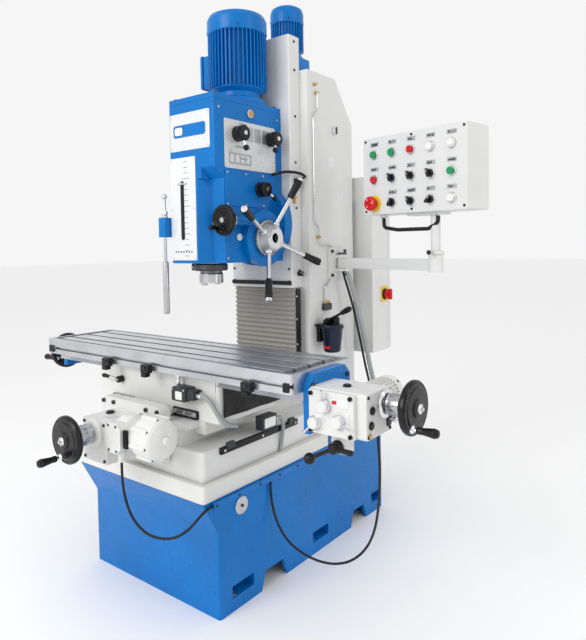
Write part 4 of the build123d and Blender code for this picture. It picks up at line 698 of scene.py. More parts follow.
def lever(name, body, pivot, axis, tip, hub, hub_len, rod, knob, node, grip=0.0, cap=None,
        style="ball"):
    """A turned hub, a rod leaving its side at a slant and a ball or a long grip at its end."""
    pivot, axis, tip = (np.asarray(v, float) for v in (pivot, axis, tip))
    shell = Shell()
    turned(shell, [(0, 0), (hub, 0), (hub, hub_len * 0.22), (hub * 0.9, hub_len * 0.26),
        (hub * 0.9, hub_len * 0.36), (hub, hub_len * 0.4),
                   (hub, hub_len * 0.9), (hub * 0.84, hub_len), (0, hub_len)], pivot, axis, hub * 0.06,
                       40, 0)
    turned(shell, [(0, hub_len - 1), (hub * 0.32, hub_len - 1), (hub * 0.32, hub_len + 1.6),
        (0, hub_len + 1.6)], pivot, axis, 0.6, 6, 1)
    start = pivot + axis * hub_len * 0.6
    run = tip - start
    run /= np.linalg.norm(run)
    along_path(shell, [start, tip - run * max(grip, knob * 0.5)], rod, 16, 1)
    if grip:
        turned(shell, [(0, 0), (knob * 0.62, 0), (knob * 0.8, grip * 0.3), (knob, grip * 0.8),
            (knob * 0.8, grip * 0.97), (0, grip)],
               tip - run * grip, run, knob * 0.3, 24, 0)
    else:
        ball(shell, tip, knob, 24, 0, 1.0, run)
    return piece(name, shell, body, [black, chrome], [node])


for number, (y, z, turn, reach) in enumerate([(-170, 1557, 275, 52), (16, 1560, 250, 48),
        (-52, 1364, 325, 52)], 1):
    name = f"gear_lever_{number}"
    tip = (115.5 + 40, y + reach * cos(radians(turn)), z + reach * sin(radians(turn)))
    lever(name + "_knob", name, (115.5, y, z), X, tip, 28, 44, 5, 11, name)
for number, (x, z, turn) in enumerate([(709, 728, 90), (679, 680, 225), (753, 692, -12)], 1):
    name = f"x_speed_lever_{number}"
    knob = Shell()
    place = np.array([x, -489.5, z])
    way = np.array([cos(radians(turn)), 0, sin(radians(turn))])
    turned(knob, [(0, 0), (19, 0), (19, 7), (17, 9), (0, 9)], place, -Y, 1, 44, 1)
    turned(knob, [(0, 8), (16.5, 8), (16.5, 17), (14, 20), (0, 20)], place, -Y, 1.5, 44, 0)
    along_path(knob, [place - Y * 15, place - Y * 16 + way * 30, place - Y * 17 + way * 42],
        [3.2, 3.2, 4.4], 14, 1, 1.5)
    piece(name + "_knob", knob, name, [panel_white, chrome], [name])
lever("saddle_clamp_grip", "saddle_clamp", (-170, -481.5, 690), -Y, (-250, -507, 698),
    12, 22, 5, 8, "saddle_clamp_lever", 36)
lever("slide_clamp_grip", "slide_clamp", (160.5, 128, 1040), X, (184, 104, 1052), 10,
    20, 3.5, 6, "slide_clamp")
feed = Shell()
pivot = np.array([736, -469.5, 619.0])
turned(feed, [(0, 0), (18, 0), (18, 8), (15, 12), (15, 28), (10, 33), (0, 33)], pivot, -Y, 2, 36)
knob_at = pivot + (-74, -28, -40)
along_path(feed, [pivot + (0, -22, 0), knob_at], 6, 14, 0)
ball(feed, knob_at, 16, 28, 0)
along_path(feed, [pivot + (0, -22, 0), pivot + (56, -22, -2)], [6, 8], 14, 0, 3)
piece("feed_lever", feed, "x_feed_lever", [black], ["x_feed_lever"])

# Capstan: hub, face ring with screws, four slanting spokes with grips and end caps.
low, high = box_mm("head_casting")
capstan = np.array([0.0, -50.0, 1181.0])
hub = Shell()
turned(hub, [(0, 0), (66, 0), (68, 3), (68, 13), (62, 16), (60, 22), (50, 40), (47, 44), (0, 44)],
    capstan + X * 144, X, 2.5, 80)
turned(hub, [(0, 0), (44, 0), (44, 4), (20, 5), (18, 2), (10, 2), (0, 2)], capstan + X * 186, X, 1.2,
    64, 1)
turned(hub, [(0, 0), (9, 0), (9, 6), (5, 6), (5, 3), (0, 3)], capstan + X * 188, X, 0.6, 6, 2)
turned(hub, [(0, 0), (24, 0), (24, 32), (0, 32)], capstan + X * 116, X, 1, 40, 1)
spoke_turns = [66, 156, 246, 336]
for k in range(12):
    a = radians(30 * k + 10)
    out = np.array([0, cos(a), sin(a)])
    turned(hub, [(0, -1), (4, -1), (4, 0.7), (2.6, 0.7), (2.6, -0.6), (0, -0.6)],
        capstan + X * 152 + out * 68, out, 0.2, 14, 2)
for turn in spoke_turns:
    out = np.array([0, cos(radians(turn)), sin(radians(turn))])
    root = capstan + X * 168 + out * 40
    tip = capstan + X * 235 + out * 245
    run = (tip - root) / np.linalg.norm(tip - root)
    turned(hub, [(0, 0), (15, 0), (15, 14), (11, 19), (0, 19)], root + run * 6, run, 2, 28, 1)
    along_path(hub, [root + run * 20, tip - run * 80], 9.2, 24, 1)
    turned(hub, [(0, 0), (11, 0), (12.5, 6), (15, 62), (15, 78), (0, 78)], tip - run * 86, run, 2.5, 32,
        2)
    turned(hub, [(0, 0), (13, 0), (13, 6), (8, 12), (0, 12)], tip - run * 10, run, 2.5, 28, 1)
piece("capstan_hub", hub, "capstan", [alloy, chrome, black], ["capstan"])

# Fine feed: worm housing end, graduated collar, small dished wheel and crank knob.
fine = Shell()
fine_at = np.array([150.0, -238.0, 1243.0])
turned(fine, [(0, 0.5), (24, 0.5), (24, 22), (19, 25), (16, 26), (16, 34), (0, 34)], fine_at, -Y, 0.8,
    48, 1)
turned(fine, [(9, 33), (18, 33), (20, 37), (36, 38), (43, 34), (50, 34), (54, 39), (54, 47), (49, 53),
    (43, 51), (38, 46),
              (22, 44), (17, 52), (9, 52)], fine_at, -Y, 2.5, 64, 0, ring=True)
turned(fine, [(26, 44), (29, 47.5), (32, 44)], fine_at, -Y, 0.5, 48, 0, ring=True)
turned(fine, [(0, 34), (10, 34), (10, 55), (6, 58), (0, 58)], fine_at, -Y, 1, 24, 1)
knob_at = fine_at + (-28, 0, -25)
turned(fine, [(0, 44), (5, 44), (5, 54), (7, 58), (9, 80), (6, 86), (0, 86)], knob_at, -Y, 2, 20, 0)
piece("fine_feed", fine, "fine_feed_wheel", [black, steel], ["fine_feed_wheel"])

# ---------------------------------------------------------------- plates and marks on the head

name_plate = ticked("name plate", (0.74, 0.75, 0.76), (0.05, 0.06, 0.09), 1.0, 0.024, 0.0, 2, 0, 0.0,
    0.32, 0.4)
scale_plate = ticked("depth scale", (0.74, 0.75, 0.76), (0.36, 0.36, 0.38), 1.0, 0.020, 0.010, 0, 2,
    -0.030, 0.3, 0.2)
gear_plate = ticked("gear chart", (0.62, 0.63, 0.64), (0.30, 0.31, 0.34), 1.0, 0.042, 0.02, 1, 2, -0.14,
    0.3, 0.3, 3)


def stud_row(shell, places, axis, radius=3.0, height=1.6, finish=1):
    """Small screw heads at a list of places."""
    for place in places:
        cap_screw(shell, place, axis, radius, height, finish)


low, high = box_mm("head_casting")
face = low[1]
marks = Shell()
block(marks, (-108, face - 2.5, 1500), (96, face + 1, 1634), 6, 0.8, 0, 1)
stud_row(marks, [(x, face - 2.5, z) for x in (-100, 88) for z in (1508, 1626)], -Y)
block(marks, (-88, face - 4.2, 1548), (76, face - 1.5, 1592), 10, 0.8, 2, 1)
block(marks, (-80, face - 5.0, 1556), (-40, face - 3.5, 1584), 8, 0.5, 3, 1)
piece("front_name_plate", marks, "head", [name_plate, chrome, blue, ivory])

scale = Shell()
block(scale, (-112, face - 3, 1104), (20, face + 1, 1476), 5, 0.8, 0, 1)
stud_row(scale, [(x, face - 3, z) for x in (-105, 13) for z in (1112, 1290, 1468)], -Y)
block(scale, (-58, face - 4.4, 1178), (-40, face - 2, 1392), 8.5, 0.6, 2, 1)
for k in range(7):
    block(scale, (-93 + 14 * k, face - 3.2, 1132), (-86 + 14 * k, face - 2.5, 1138), 1, 0.2, 3, 1)
block(scale, (-70, face - 9, 1378), (-28, face - 4.3, 1384), 2, 0.8, 1, 1)
turned(scale, [(0, 0), (6, 0), (6, 10), (4, 12), (0, 12)], (-49, face - 4, 1381), -Y, 0.8, 20, 1)
piece("depth_scale", scale, "head", [scale_plate, chrome, black, dark_steel])

side = 115.0
chart = Shell()
block(chart, (side - 1, -236, 1432), (side + 2.4, 44, 1606), 6, 0.8, 0, 0)
stud_row(chart, [(side + 2.4, y, z) for y in (-228, 36) for z in (1440, 1598)], X)
for k in range(3):
    block(chart, (side + 2, -118 + 42 * k, 1538), (side + 3.4, -84 + 42 * k, 1590), 3, 0.4, 2, 0)
block(chart, (side + 2, -216, 1448), (side + 3.4, -96, 1488), 3, 0.4, 3, 0)
for k in range(4):
    block(chart, (side + 3, -210 + 28 * k, 1454), (side + 4.2, -190 + 28 * k, 1482), 2, 0.3, 0, 0)
piece("speed_chart", chart, "head", [gear_plate, chrome, alloy, alloy])

cover = Shell()
block(cover, (side - 1, -236, 1296), (side + 4, -26, 1424), 5, 1.2, 0, 0)
stud_row(cover, [(side + 4, y, z) for y in (-228, -131, -34) for z in (1304, 1416)], X, 4.5, 3)
stud_row(cover, [(side, y, z) for y, z in ((-229, 1110), (-229, 1210), (30, 1110), (60, 1640),
    (-262, 1640))], X, 5, 3)
turned(cover, [(0, 0), (17, 0), (17, 4), (14, 7), (0, 7)], (side, -97, 1640), X, 1, 36, 1)
turned(cover, [(0, 0), (12, 0), (11, 9), (0, 9)], (side, -97, 1640), X, 0.6, 36, 2)
turned(cover, [(0, 0), (13, 0), (13, 5), (0, 5)], (side, -168, 1186), X, 1, 30, 3)
turned(cover, [(0, 0), (9, 0), (9, 16), (7, 18), (0, 18)], (side, 52, 1330), X, 1, 24, 1)
piece("head_side_cover", cover, "head", [blue, steel, sight, ivory])

# Lid: hex bolts along both sides.
lid = Shell()
lid_low, lid_high = box_mm("head_lid")
for sx in (-1, 1):
    for y in (lid_low[1] + 22, -190, 60):
        turned(lid, [(0, 0), (9, 0), (9, 7), (0, 7)], (sx * 98, y, lid_high[2]), Z, 1, 6, 1)
piece("lid_bolts", lid, "head", [blue, dark_steel])

# Rod set on the head's front left corner.
rod = Shell()
rod_at = np.array([-137.0, -300.0, 0.0])
turned(rod, [(0, 1098), (6.2, 1098), (6.2, 1330), (0, 1330)], rod_at, Z, 0.8, 24, 1)
ball(rod, rod_at + Z * 1340, 11, 24, 1)
turned(rod, [(0, 905), (9, 905), (11.5, 909), (11.5, 1096), (8, 1101), (0, 1101)], rod_at, Z, 2, 32, 2)
turned(rod, [(0, 1272), (12, 1272), (12, 1286), (0, 1286)], rod_at, Z, 1, 6, 1)
turned(rod, [(0, 1262), (13, 1262), (13, 1268), (9, 1272), (0, 1272)], rod_at, Z, 1, 28, 1)
block(rod, (-155, -318, 1190), (-116, -284, 1262), 8, 2.5, 0, 2)
block(rod, (-155, -290, 1190), (-114, -226, 1262), 6, 2.5, 0, 2)
stud_row(rod, [(-155, -258, z) for z in (1206, 1246)], -X, 5, 3)
piece("rod_set", rod, "head", [blue, chrome, steel], ["guard_rod"])

# Quill nose: a split clamp ring with its screw, and the nose's own ring.
nose = Shell()
turned(nose, [(52.4, 1064), (60, 1064), (62, 1068), (62, 1086), (58, 1091), (52.4, 1091)], (0, -200, 0),
    Z, 1.5, 64, 0, ring=True)
block(nose, (-84, -222, 1064), (-56, -196, 1090), 4, 2, 0, 2)
turned(nose, [(0, 0), (6, 0), (6, 8), (0, 8)], (-70, -222, 1077), -Y, 0.8, 12, 1)
piece("quill_clamp_ring", nose, "quill", [dark_steel, chrome])

# Slide and column details: joint screws, lock, oilers, thin oil pipes and a hose.
slide_low = box_mm("vertical_slide")[0]
bits = Shell()
stud_row(bits, [(x, slide_low[1], z) for x in (-148, 148) for z in (1010, 1060)], -Y, 5, 4, 0)
stud_row(bits, [(160, 118, z) for z in (1120, 1300, 1480, 1660, 1840, 1950)], X, 5, 3, 0)
block(bits, (-158, slide_low[1] - 7, 996), (158, slide_low[1], 1012), 3, 1, 1, 1)
hose = flowing([(110, 26, 1427), (134, 34, 1432), (160, 58, 1438), (182, 92, 1436), (190, 124, 1430),
    (180, 150, 1424), (166, 156, 1420)], 8)
along_path(bits, hose, 5.5, 14, 1)
block(bits, (159, 104, 1382), (176, 130, 1416), 4, 1.2, 1, 0)
turned(bits, [(0, 0), (5, 0), (5, 64), (3, 68), (0, 68)], (168, 100, 1316), Z, 0.8, 16, 2)
turned(bits, [(0, 0), (8, 0), (8, 9), (0, 9)], (168, 100, 1336), Z, 0.8, 6, 2)
piece("slide_fittings", bits, "head", [dark_steel, rubber, brass])

post = Shell()
wall = 198.0
turned(post, [(0, 0), (17, 0), (17, 8), (14, 12), (0, 12)], (wall, 338, 1629), X, 1.2, 36, 2)
block(post, (wall + 10, 334, 1614), (wall + 15, 342, 1644), 2, 0.8, 1, 0)
for y, z in ((196, 1794), (204, 1761), (206, 1185)):
    turned(post, [(0, 0), (7, 0), (7, 8), (4.5, 10), (4.5, 18), (0, 18)], (wall, y, z), X, 0.8, 6, 3)
pipe = fillet_line([(wall + 12, 206, 1185), (wall + 12, 206, 1150), (wall + 9, 300, 1150),
    (wall + 9, 300, 1040), (wall + 6, 262, 985), (wall + 6, 242, 985), (wall + 6, 242, 900)], 26, 8)
along_path(post, pipe, 2.6, 10, 4)
pipe = fillet_line([(wall + 12, 204, 1761), (wall + 12, 204, 1700), (wall + 5, 182, 1660),
    (wall + 5, 182, 1250), (wall + 12, 206, 1216), (wall + 12, 206, 1190)], 24, 8)
along_path(post, pipe, 2.6, 10, 4)
block(post, (wall, 232, 884), (wall + 16, 282, 912), 4, 1.5, 1, 0)
for k in range(3):
    turned(post, [(0, 0), (5, 0), (5, 10), (0, 10)], (wall + 8, 242 + 14 * k, 912), Z, 0.6, 6, 3)
block(post, (wall - 1, 290, 1470), (wall + 1.2, 330, 1520), 3, 0.4, 5, 0)
block(post, (wall - 1, 352, 1340), (wall + 1.2, 398, 1372), 3, 0.4, 5, 0)
piece("column_fittings", post, "base", [white, dark_steel, chrome, brass, steel,
    name_plate])

strip = Shell()
block(strip, (160, 106, 640), (172, 124, 980), 3, 1, 0, 2)
stud_row(strip, [(166, 106, z) for z in (668, 760, 860, 950)], -Y, 3.5, 2, 1)
piece("bellows_rail", strip, "base", [black, chrome])

# ---------------------------------------------------------------- control panel

corner = np.array([430.0, 187.0, 1262.0])
panel_turn = radians(-10.65)
U = np.array([cos(panel_turn), sin(panel_turn), 0.0])
OUT = np.array([sin(panel_turn), -cos(panel_turn), 0.0])
columns = [54.0, 137.0, 220.0, 302.0, 385.0]
panel_rows = [40.0, 128.0, 219.0]


def spot_on(column, row, out=0.0):
    return corner + U * columns[column] + Z * panel_rows[row] + OUT * out


def button(name, body, place, finish, radius=12.5, height=10.0, out=5.0):
    """A push button: a bright bezel ring with a soft dished cap."""
    shell = Shell()
    turned(shell, [(0, out), (radius, out), (radius, out + height), (radius * 0.8, out + height + 1.5),
                   (radius * 0.5, out + height), (0, out + height - 0.6)], place, OUT, 1.2, 36)
    return piece(name + "_cap", shell, body, [finish], [name])


places = [("green_button_1", 0, 2, green, "green_plastic"), ("green_button_2", 1, 2, green,
    "green_plastic"),
          ("green_button_3", 4, 1, green, "green_plastic"), ("red_button_1", 2, 2, red, "red_plastic"),
          ("red_button_2", 0, 1, red, "red_plastic"), ("white_button_1", 3, 2, ivory, "white_plastic"),
          ("white_button_2", 4, 0, ivory, "white_plastic")]
for name, column, row, finish, slot_name in places:
    button(name, name, spot_on(column, row), finish)
turns = [-20, -20, -20, 20, -20, 40]
for number, (column, row) in enumerate([(1, 1), (2, 1), (3, 1), (1, 0), (2, 0), (3, 0)], 1):
    name = f"selector_{number}"
    place = spot_on(column, row)
    angle = radians(turns[number - 1])
    grip_up = Z * cos(angle) + U * sin(angle)
    grip_side = np.cross(grip_up, OUT)
    shell = Shell()
    turned(shell, [(0, 5.5), (13.5, 5.5), (13.5, 12), (12, 14), (0, 14)], place, OUT, 1.2, 36)
    casting(shell, [(-4.5, -14), (4.5, -14), (5, 0), (4, 16), (-4, 16), (-5, 0)], 2, place + OUT * 12,
        grip_side, grip_up, 15, 2)
    casting(shell, [(-0.9, 2), (0.9, 2), (0.9, 14), (-0.9, 14)], 0.4, place + OUT * 26, grip_side,
        grip_up, 1.6, 0.3, 1)
    made = piece(name + "_grip", shell, name, [black, ivory], [name])
stop = Shell()
place = spot_on(0, 0)
turned(stop, [(0, 4.5), (15, 4.5), (15, 14), (14, 18), (24, 20), (27, 25), (25, 33), (16, 37),
    (0, 37.5)], place, OUT, 3, 48, 0)
for k in range(3):
    a = 2 * pi * k / 3
    away = U * cos(a) + Z * sin(a)
    casting(stop, [(-1.2, -4), (1.2, -4), (1.2, 4), (-1.2, 4)], 0.6, place + OUT * 36 + away * 15,
        np.cross(away, OUT), away, 1.8, 0.4, 1)
piece("emergency_stop_head", stop, "emergency_stop", [red, ivory], ["emergency_stop"])

front = Shell()
for column in range(5):
    for row in range(3):
        place = spot_on(column, row)
        ring = 30 if (column, row) == (0, 0) else 18
        tone = 1 if (column, row) == (0, 0) else 0
        turned(front, [(11.9 if ring == 18 else 15.5, 0), (ring, 0), (ring, 3.4), (ring - 2, 5.4),
            (11.9 if ring == 18 else 15.5, 5.4)], place, OUT, 1, 40, tone, ring=True)
        tag = place + Z * 30 - U * 19
        if (column, row) != (0, 0):
            casting(front, [(0, 0), (38, 0), (38, 15), (0, 15)], 2, tag, U, Z, -1.2, 0.3, 2)
            for k in range(1 + (column + row) % 3):
                casting(front, [(0, 0), (6, 0), (6, 5), (0, 5)], 1.2,
                    tag + U * (7 + 9 * k) + Z * 5 + OUT * 1, U, Z, -0.8, 0.2, 3)
turned(front, [(0, 0), (17, 0), (17, 5), (14, 8), (0, 8)], spot_on(4, 2), OUT, 1, 36, 0)
turned(front, [(0, 5), (12, 5), (12, 14), (8, 19), (0, 20)], spot_on(4, 2), OUT, 3, 36, 4)
for u in (12, 222, 432):
    for z in (12, 271):
        cap_screw(front, corner + U * u + Z * z, OUT, 4.5, 2.5, 3)
piece("panel_front_fittings", front, "panel",
    [chrome, yellow, name_plate, black, ivory])

arm_end = np.array([713.6, 198.2, 1050.0])
under = Shell()
path = fillet_line([(500, 214, 1262), (500, 214, 1214), (560, 206, 1204), (690, 190, 1204),
    (728, 186, 1226), (728, 186, 1262)], 16, 6)
along_path(under, path, 7, 14, 0)
turned(under, [(0, 0), (13, 0), (13, 10), (9, 14), (0, 14)], (500, 214, 1262), -Z, 1, 8, 1)
turned(under, [(0, 0), (13, 0), (13, 10), (9, 14), (0, 14)], (728, 186, 1262), -Z, 1, 8, 1)
turned(under, [(17.2, 0), (30, 0), (30, 10), (24, 16), (17.2, 16)], arm_end + Z * 62.6, Z, 1.5, 48, 2,
    ring=True)
turned(under, [(0, 0), (5, 0), (5, 26), (0, 26)], arm_end + Z * 71 - Y * 28, -Y, 1, 12, 1)
ball(under, arm_end + Z * 71 - Y * 58, 8, 20, 0)
piece("panel_under_fittings", under, "panel", [rubber, chrome, white])

# ---------------------------------------------------------------- arm, bracket and cabinet

arm_bits = Shell()
stud_row(arm_bits, [(212, y, z) for y in (288, 384) for z in (1026, 1126)], X, 7, 7, 0)
turned(arm_bits, [(0, 0), (20, 0), (20, 4), (16, 8), (0, 8)], (233, 336, 1112), Z, 1.2, 36, 0)
piece("arm_bracket_screws", arm_bits, "base", [dark_steel])
conduit = flowing([(255, 335, 1052), (262, 350, 1000), (278, 376, 900), (292, 408, 760),
    (298, 440, 640), (300, 468, 560), (296, 490, 500), (286, 500, 450), (270, 500, 405)], 10)
cuff = Shell()
wave = 10.0 + 0.9 * np.sin(np.arange(len(conduit)) * 2.4)
along_path(cuff, conduit, wave, 16, 0)
along_path(cuff, conduit + np.array([-14.0, -14.0, 0.0]), 5.0, 14, 2)
turned(cuff, [(0, 0), (13, 0), (13, 14), (10, 18), (0, 18)], (255, 335, 1056), -Z, 1, 8, 1)

isolator = Shell()
block(isolator, (276.5, 574, 894), (282.5, 638, 962), 6, 1.5, 1, 0)
turned(isolator, [(0, 0), (25, 0), (25, 6), (21, 9), (0, 9)], (282, 606, 928), X, 1, 40, 0)
piece("isolator_plate", isolator, "base", [black, yellow])
iso_grip = Shell()
turned(iso_grip, [(0, 0), (19, 0), (19, 8), (16, 12), (0, 12)], (291, 606, 928), X, 1.4, 40, 0)
block(iso_grip, (300, 598.5, 904), (319, 613.5, 952), 6, 3, 0, 0)
piece("isolator_grip", iso_grip, "isolator_handle", [red], ["isolator_handle"])

seam = Shell()
door_high = box_mm("cabinet_door")[1]
for z in (850, 1290):
    turned(seam, [(0, 0), (13, 0), (13, 5), (10, 8), (0, 8)], (252, door_high[1], z), Y, 1, 32, 0)
    block(seam, (246, door_high[1] + 7, z - 12), (258, door_high[1] + 11, z + 12), 3, 1, 0, 1)
for row in range(7):
    block(seam, (-150, door_high[1] - 1, 740 + 14 * row), (150, door_high[1] + 4, 748 + 14 * row), 3,
        1.6, 1, 1)
block(seam, (-60, door_high[1] - 1, 1240), (60, door_high[1] + 1.2, 1330), 4, 0.4, 2, 1)
piece("door_fittings", seam, "cabinet_door", [dark_steel, panel_white, name_plate])

# ---------------------------------------------------------------- oil pump

low, high = box_mm("lube_pump")
cup = np.array([258.0, 215.0, 722.0])
pump = Shell()
turned(pump, [(0, 0), (30, 0), (34, 6), (40, 60), (42, 88), (44, 92), (44, 102), (0, 102)], cup, Z, 3,
    56, 0)
turned(pump, [(0, 96), (47, 96), (48, 100), (47, 108), (42, 112), (0, 112)], cup, Z, 1.5, 56, 0)
block(pump, (198, 176, 824), (262, 254, 834), 6, 2, 1, 2)
turned(pump, [(0, 0), (16, 0), (16, 24), (12, 30), (0, 30)], (cup[0] + 8, cup[1] + 16, 832), Z, 1.5, 32,
    1)
turned(pump, [(0, 0), (10, 0), (10, 14), (0, 14)], (cup[0] - 14, cup[1] + 22, 832), Z, 1.2, 24, 3)
block(pump, (cup[0] - 24, 200, 830), (cup[0] - 7, 229, 858), 4, 2, 1, 2)
block(pump, (198, 190, 760), (216, 240, 826), 4, 2, 1, 2)
casting(pump, [(0, 0), (26, 0), (26, 12), (0, 12)], 2, (cup[0] - 13, cup[1] - 34.5, cup[2] + 16), X, Z,
    1.4, 0.4, 2)
piece("oil_pump", pump, "base", [oil_cup, black, red, brass], ["lube_pump"])
pivot = np.array([243.0, 198.5, 846.0])
arm_dir = np.array([cos(radians(27)), 0, sin(radians(27))])
paddle = Shell()
turned(paddle, [(0, -12), (9, -12), (9, 12), (0, 12)], pivot, Y, 1.2, 28, 0)
along_path(paddle, [pivot, pivot + arm_dir * 78], [6, 5], 14, 0)
along_path(paddle, [pivot + arm_dir * 76, pivot + arm_dir * 84, pivot + arm_dir * 108,
    pivot + arm_dir * 124, pivot + arm_dir * 130], [5, 9, 12, 11, 6], 20, 0, 2)
piece("oil_pump_lever", paddle, "lube_lever", [black], ["lube_lever"])

# ---------------------------------------------------------------- feed gearbox

low, high = box_mm("x_gearbox")
gear = Shell()
face = low[1]
for x in (664, 788):
    for z in (658, 757):
        cap_screw(gear, (x, face, z), -Y, 6, 6, 0)
block(gear, (664, face - 1.4, 668), (706, face + 0.5, 704), 3, 0.5, 1, 1)
block(gear, (726, face - 1.4, 730), (782, face + 0.5, 752), 3, 0.5, 1, 1)
block(gear, (732, face - 2.0, 736), (746, face - 0.8, 746), 1.5, 0.3, 2, 1)
block(gear, (768, face - 1.4, 668), (784, face + 0.5, 720), 3, 0.5, 1, 1)
turned(gear, [(0, 0), (12, 0), (12, 5), (9, 7), (0, 7)], (735, -420, high[2]), Z, 1, 8, 0)
for y, z in ((-447, 723), (-453, 685)):
    turned(gear, [(0, 0), (11, 0), (11, 4), (8, 6), (0, 6)], (827, y, z), X, 1, 28, 0)
turned(gear, [(0, 0), (7, 0), (7, 6), (0, 6)], (827, -461, 659), X, 0.8, 6, 3)
block(gear, (826, -372, 662), (831, -350, 706), 8, 1, 0, 0)
turned(gear, [(0, 0), (7, 0), (7, 14), (9, 16), (9, 22), (0, 22)], (830, -361, 684), X, 1, 24, 4)
for y in (-466, -354):
    for z in (657, 760):
        cap_screw(gear, (827, y, z), X, 4.5, 3, 0)
turned(gear, [(12.8, 0), (40, 0), (40, 8), (34, 14), (12.8, 14)], (827, -384, 730), X, 2, 56, 4,
    ring=True)
piece("feed_gearbox_fittings", gear, "table", [black, name_plate, red, brass, chrome])

low, high = box_mm("table_end_plates")
ends = Shell()
for y, z in ((-462, 770), (-290, 770), (-462, 656), (-290, 656), (-290, 712)):
    cap_screw(ends, (650, y, z), X, 7, 6, 0)
for y in (-440, -328):
    for z in (698, 782):
        cap_screw(ends, (-595.5, y, z), -X, 6, 5, 0)
turned(ends, [(12.8, 0), (34, 0), (34, 6), (28, 16), (12.8, 16)], (-595.5, -384, 730), -X, 2, 56, 1,
    ring=True)
piece("end_plate_screws", ends, "table", [dark_steel, steel])

# ---------------------------------------------------------------- table and saddle fittings

low, high = box_mm("table")
stops = Shell()
face = low[1]
for x in (-176, 36, 479):
    block(stops, (x - 19, face - 20, 744), (x + 19, face, 772), 4, 2, 2, 1)
    block(stops, (x - 12, face - 24, 732), (x + 12, face - 4, 746), 3, 1.5, 2, 1)
    cap_screw(stops, (x, face - 20, 762), -Y, 5, 3, 1)
block(stops, (-560, face - 4, 757), (-528, face, 783), 4, 1.5, 2, 1)
block(stops, (600, face - 4, 757), (622, face, 783), 4, 1.5, 2, 1)
piece("table_stops", stops, "table", [steel, dark_steel, black])

low, high = box_mm("saddle")
front_y = low[1]
tackle = Shell()
block(tackle, (142, front_y - 46, 668), (206, front_y, 712), 6, 3, 0, 1)
block(tackle, (162, front_y - 47.5, 674), (192, front_y - 45, 700), 3, 0.6, 1, 1)
block(tackle, (206, front_y - 40, 676), (236, front_y - 6, 708), 4, 2, 0, 0)
turned(tackle, [(0, 0), (11, 0), (11, 16), (8, 20), (0, 20)], (236, front_y - 23, 692), X, 1, 6, 2)
turned(tackle, [(0, 0), (7, 0), (7, 26), (0, 26)], (150, front_y - 23, 714), Z, 1, 24, 2)
wheel = [(0, 0), (10, 0), (10, 7), (0, 7)]
turned(tackle, wheel, (150, front_y - 20, 742), -Y, 1, 28, 2)
for x in (148, 200):
    cap_screw(tackle, (x, front_y - 46, 706), -Y, 3.5, 2, 2)
hose = flowing([(252, front_y - 23, 692), (276, front_y - 24, 690), (300, front_y - 20, 668),
    (313, front_y - 4, 630), (316, front_y + 30, 600), (314, front_y + 70, 586)], 10)
along_path(tackle, hose, 7 + 0.7 * np.sin(np.arange(len(hose)) * 2.4), 16, 3)
piece("saddle_switch", tackle, "saddle", [dark_case, ivory, chrome, grey_hose])

wipers = Shell()
for sx in (-1, 1):
    block(wipers, (sx * 161 - 58, front_y - 9, 606), (sx * 161 + 58, front_y, 634), 4, 1.5, 0, 1)
    block(wipers, (sx * 161 - 54, front_y - 12, 614), (sx * 161 + 54, front_y - 8, 630), 3, 0.8, 1, 1)
    for dx in (-44, 0, 44):
        cap_screw(wipers, (sx * 161 + dx, front_y - 12, 622), -Y, 4, 2, 2)
    for y in (low[1] + 40, -340, high[1] - 40):
        cap_screw(wipers, (sx * 304, y, 640), sx * X, 6, 4, 2)
        cap_screw(wipers, (sx * 304, y, 720), sx * X, 5, 3, 2)
for x in (-270, -220):
    turned(wipers, [(0, 0), (6, 0), (6, 5), (4, 8), (0, 8)], (x, front_y, 742), -Y, 0.8, 16, 2)
piece("saddle_wipers", wipers, "saddle", [rubber, steel, chrome])

# Right apron of thick black rubber hanging under the table, with a shallow wave. Its black is painted shade: a dark
# sheet put where the shadow under the table's right overhang falls.
cols_y = np.linspace(low[1] + 20, high[1] + 60, 34)
rows_z = np.linspace(750, 622, 14)
yy, zz = np.meshgrid(cols_y, rows_z)
bend = 2.0 * np.sin(yy / 21.0) * (750 - zz) / 130
near_side = np.stack([308 + bend, yy, zz], -1)
far_side = np.stack([311.5 + bend, yy, zz], -1)
shade_sheet = Shell()
rings = []
for k in range(len(rows_z)):
    rings.append(np.concatenate([near_side[k], far_side[k][::-1]]))
closed_grid(shade_sheet, np.array(rings), 0)
block(shade_sheet, (303.5, cols_y[0], 734), (314, cols_y[-1], 750), 2, 1, 1, 1)
for y in np.linspace(cols_y[0] + 15, cols_y[-1] - 15, 5):
    cap_screw(shade_sheet, (314, y, 742), X, 4, 2, 2)
piece("saddle_shade_sheet", shade_sheet, "saddle", [rubber, dark_steel, chrome])

# Bed side: a rail with trip dogs, a travel switch and its grey conduit into the tray.
low, high = box_mm("bed_casting")
rail = Shell()
side = 290.0
block(rail, (side + 3, -470, 506), (side + 14, -80, 528), 3, 1.2, 0, 1)
for y in (-455, -275, -95):
    cap_screw(rail, (side + 14, y, 517), X, 4, 2, 2)
for y in (-430, -120):
    casting(rail, [(-20, 0), (20, 0), (14, 20), (-14, 20)], 2, (side + 20, y, 520), -Y, Z, 12, 1.5, 1)
block(rail, (side + 4, -300, 540), (side + 38, -228, 588), 5, 2, 1, 0)
block(rail, (side + 38, -292, 548), (side + 40, -236, 580), 3, 0.6, 3, 0)
turned(rail, [(0, 0), (10, 0), (10, 12), (7, 16), (0, 16)], (side + 22, -228, 564), Y, 1, 6, 2)
hose = flowing([(side + 22, -214, 564), (side + 24, -192, 560), (side + 22, -176, 530),
    (side + 14, -172, 480), (side + 8, -178, 436), (side + 6, -190, 398)], 10)
along_path(rail, hose, 6.5 + 0.7 * np.sin(np.arange(len(hose)) * 2.4), 16, 4)
piece("bed_switch_rail", rail, "base", [black, dark_case, chrome, ivory, grey_hose])

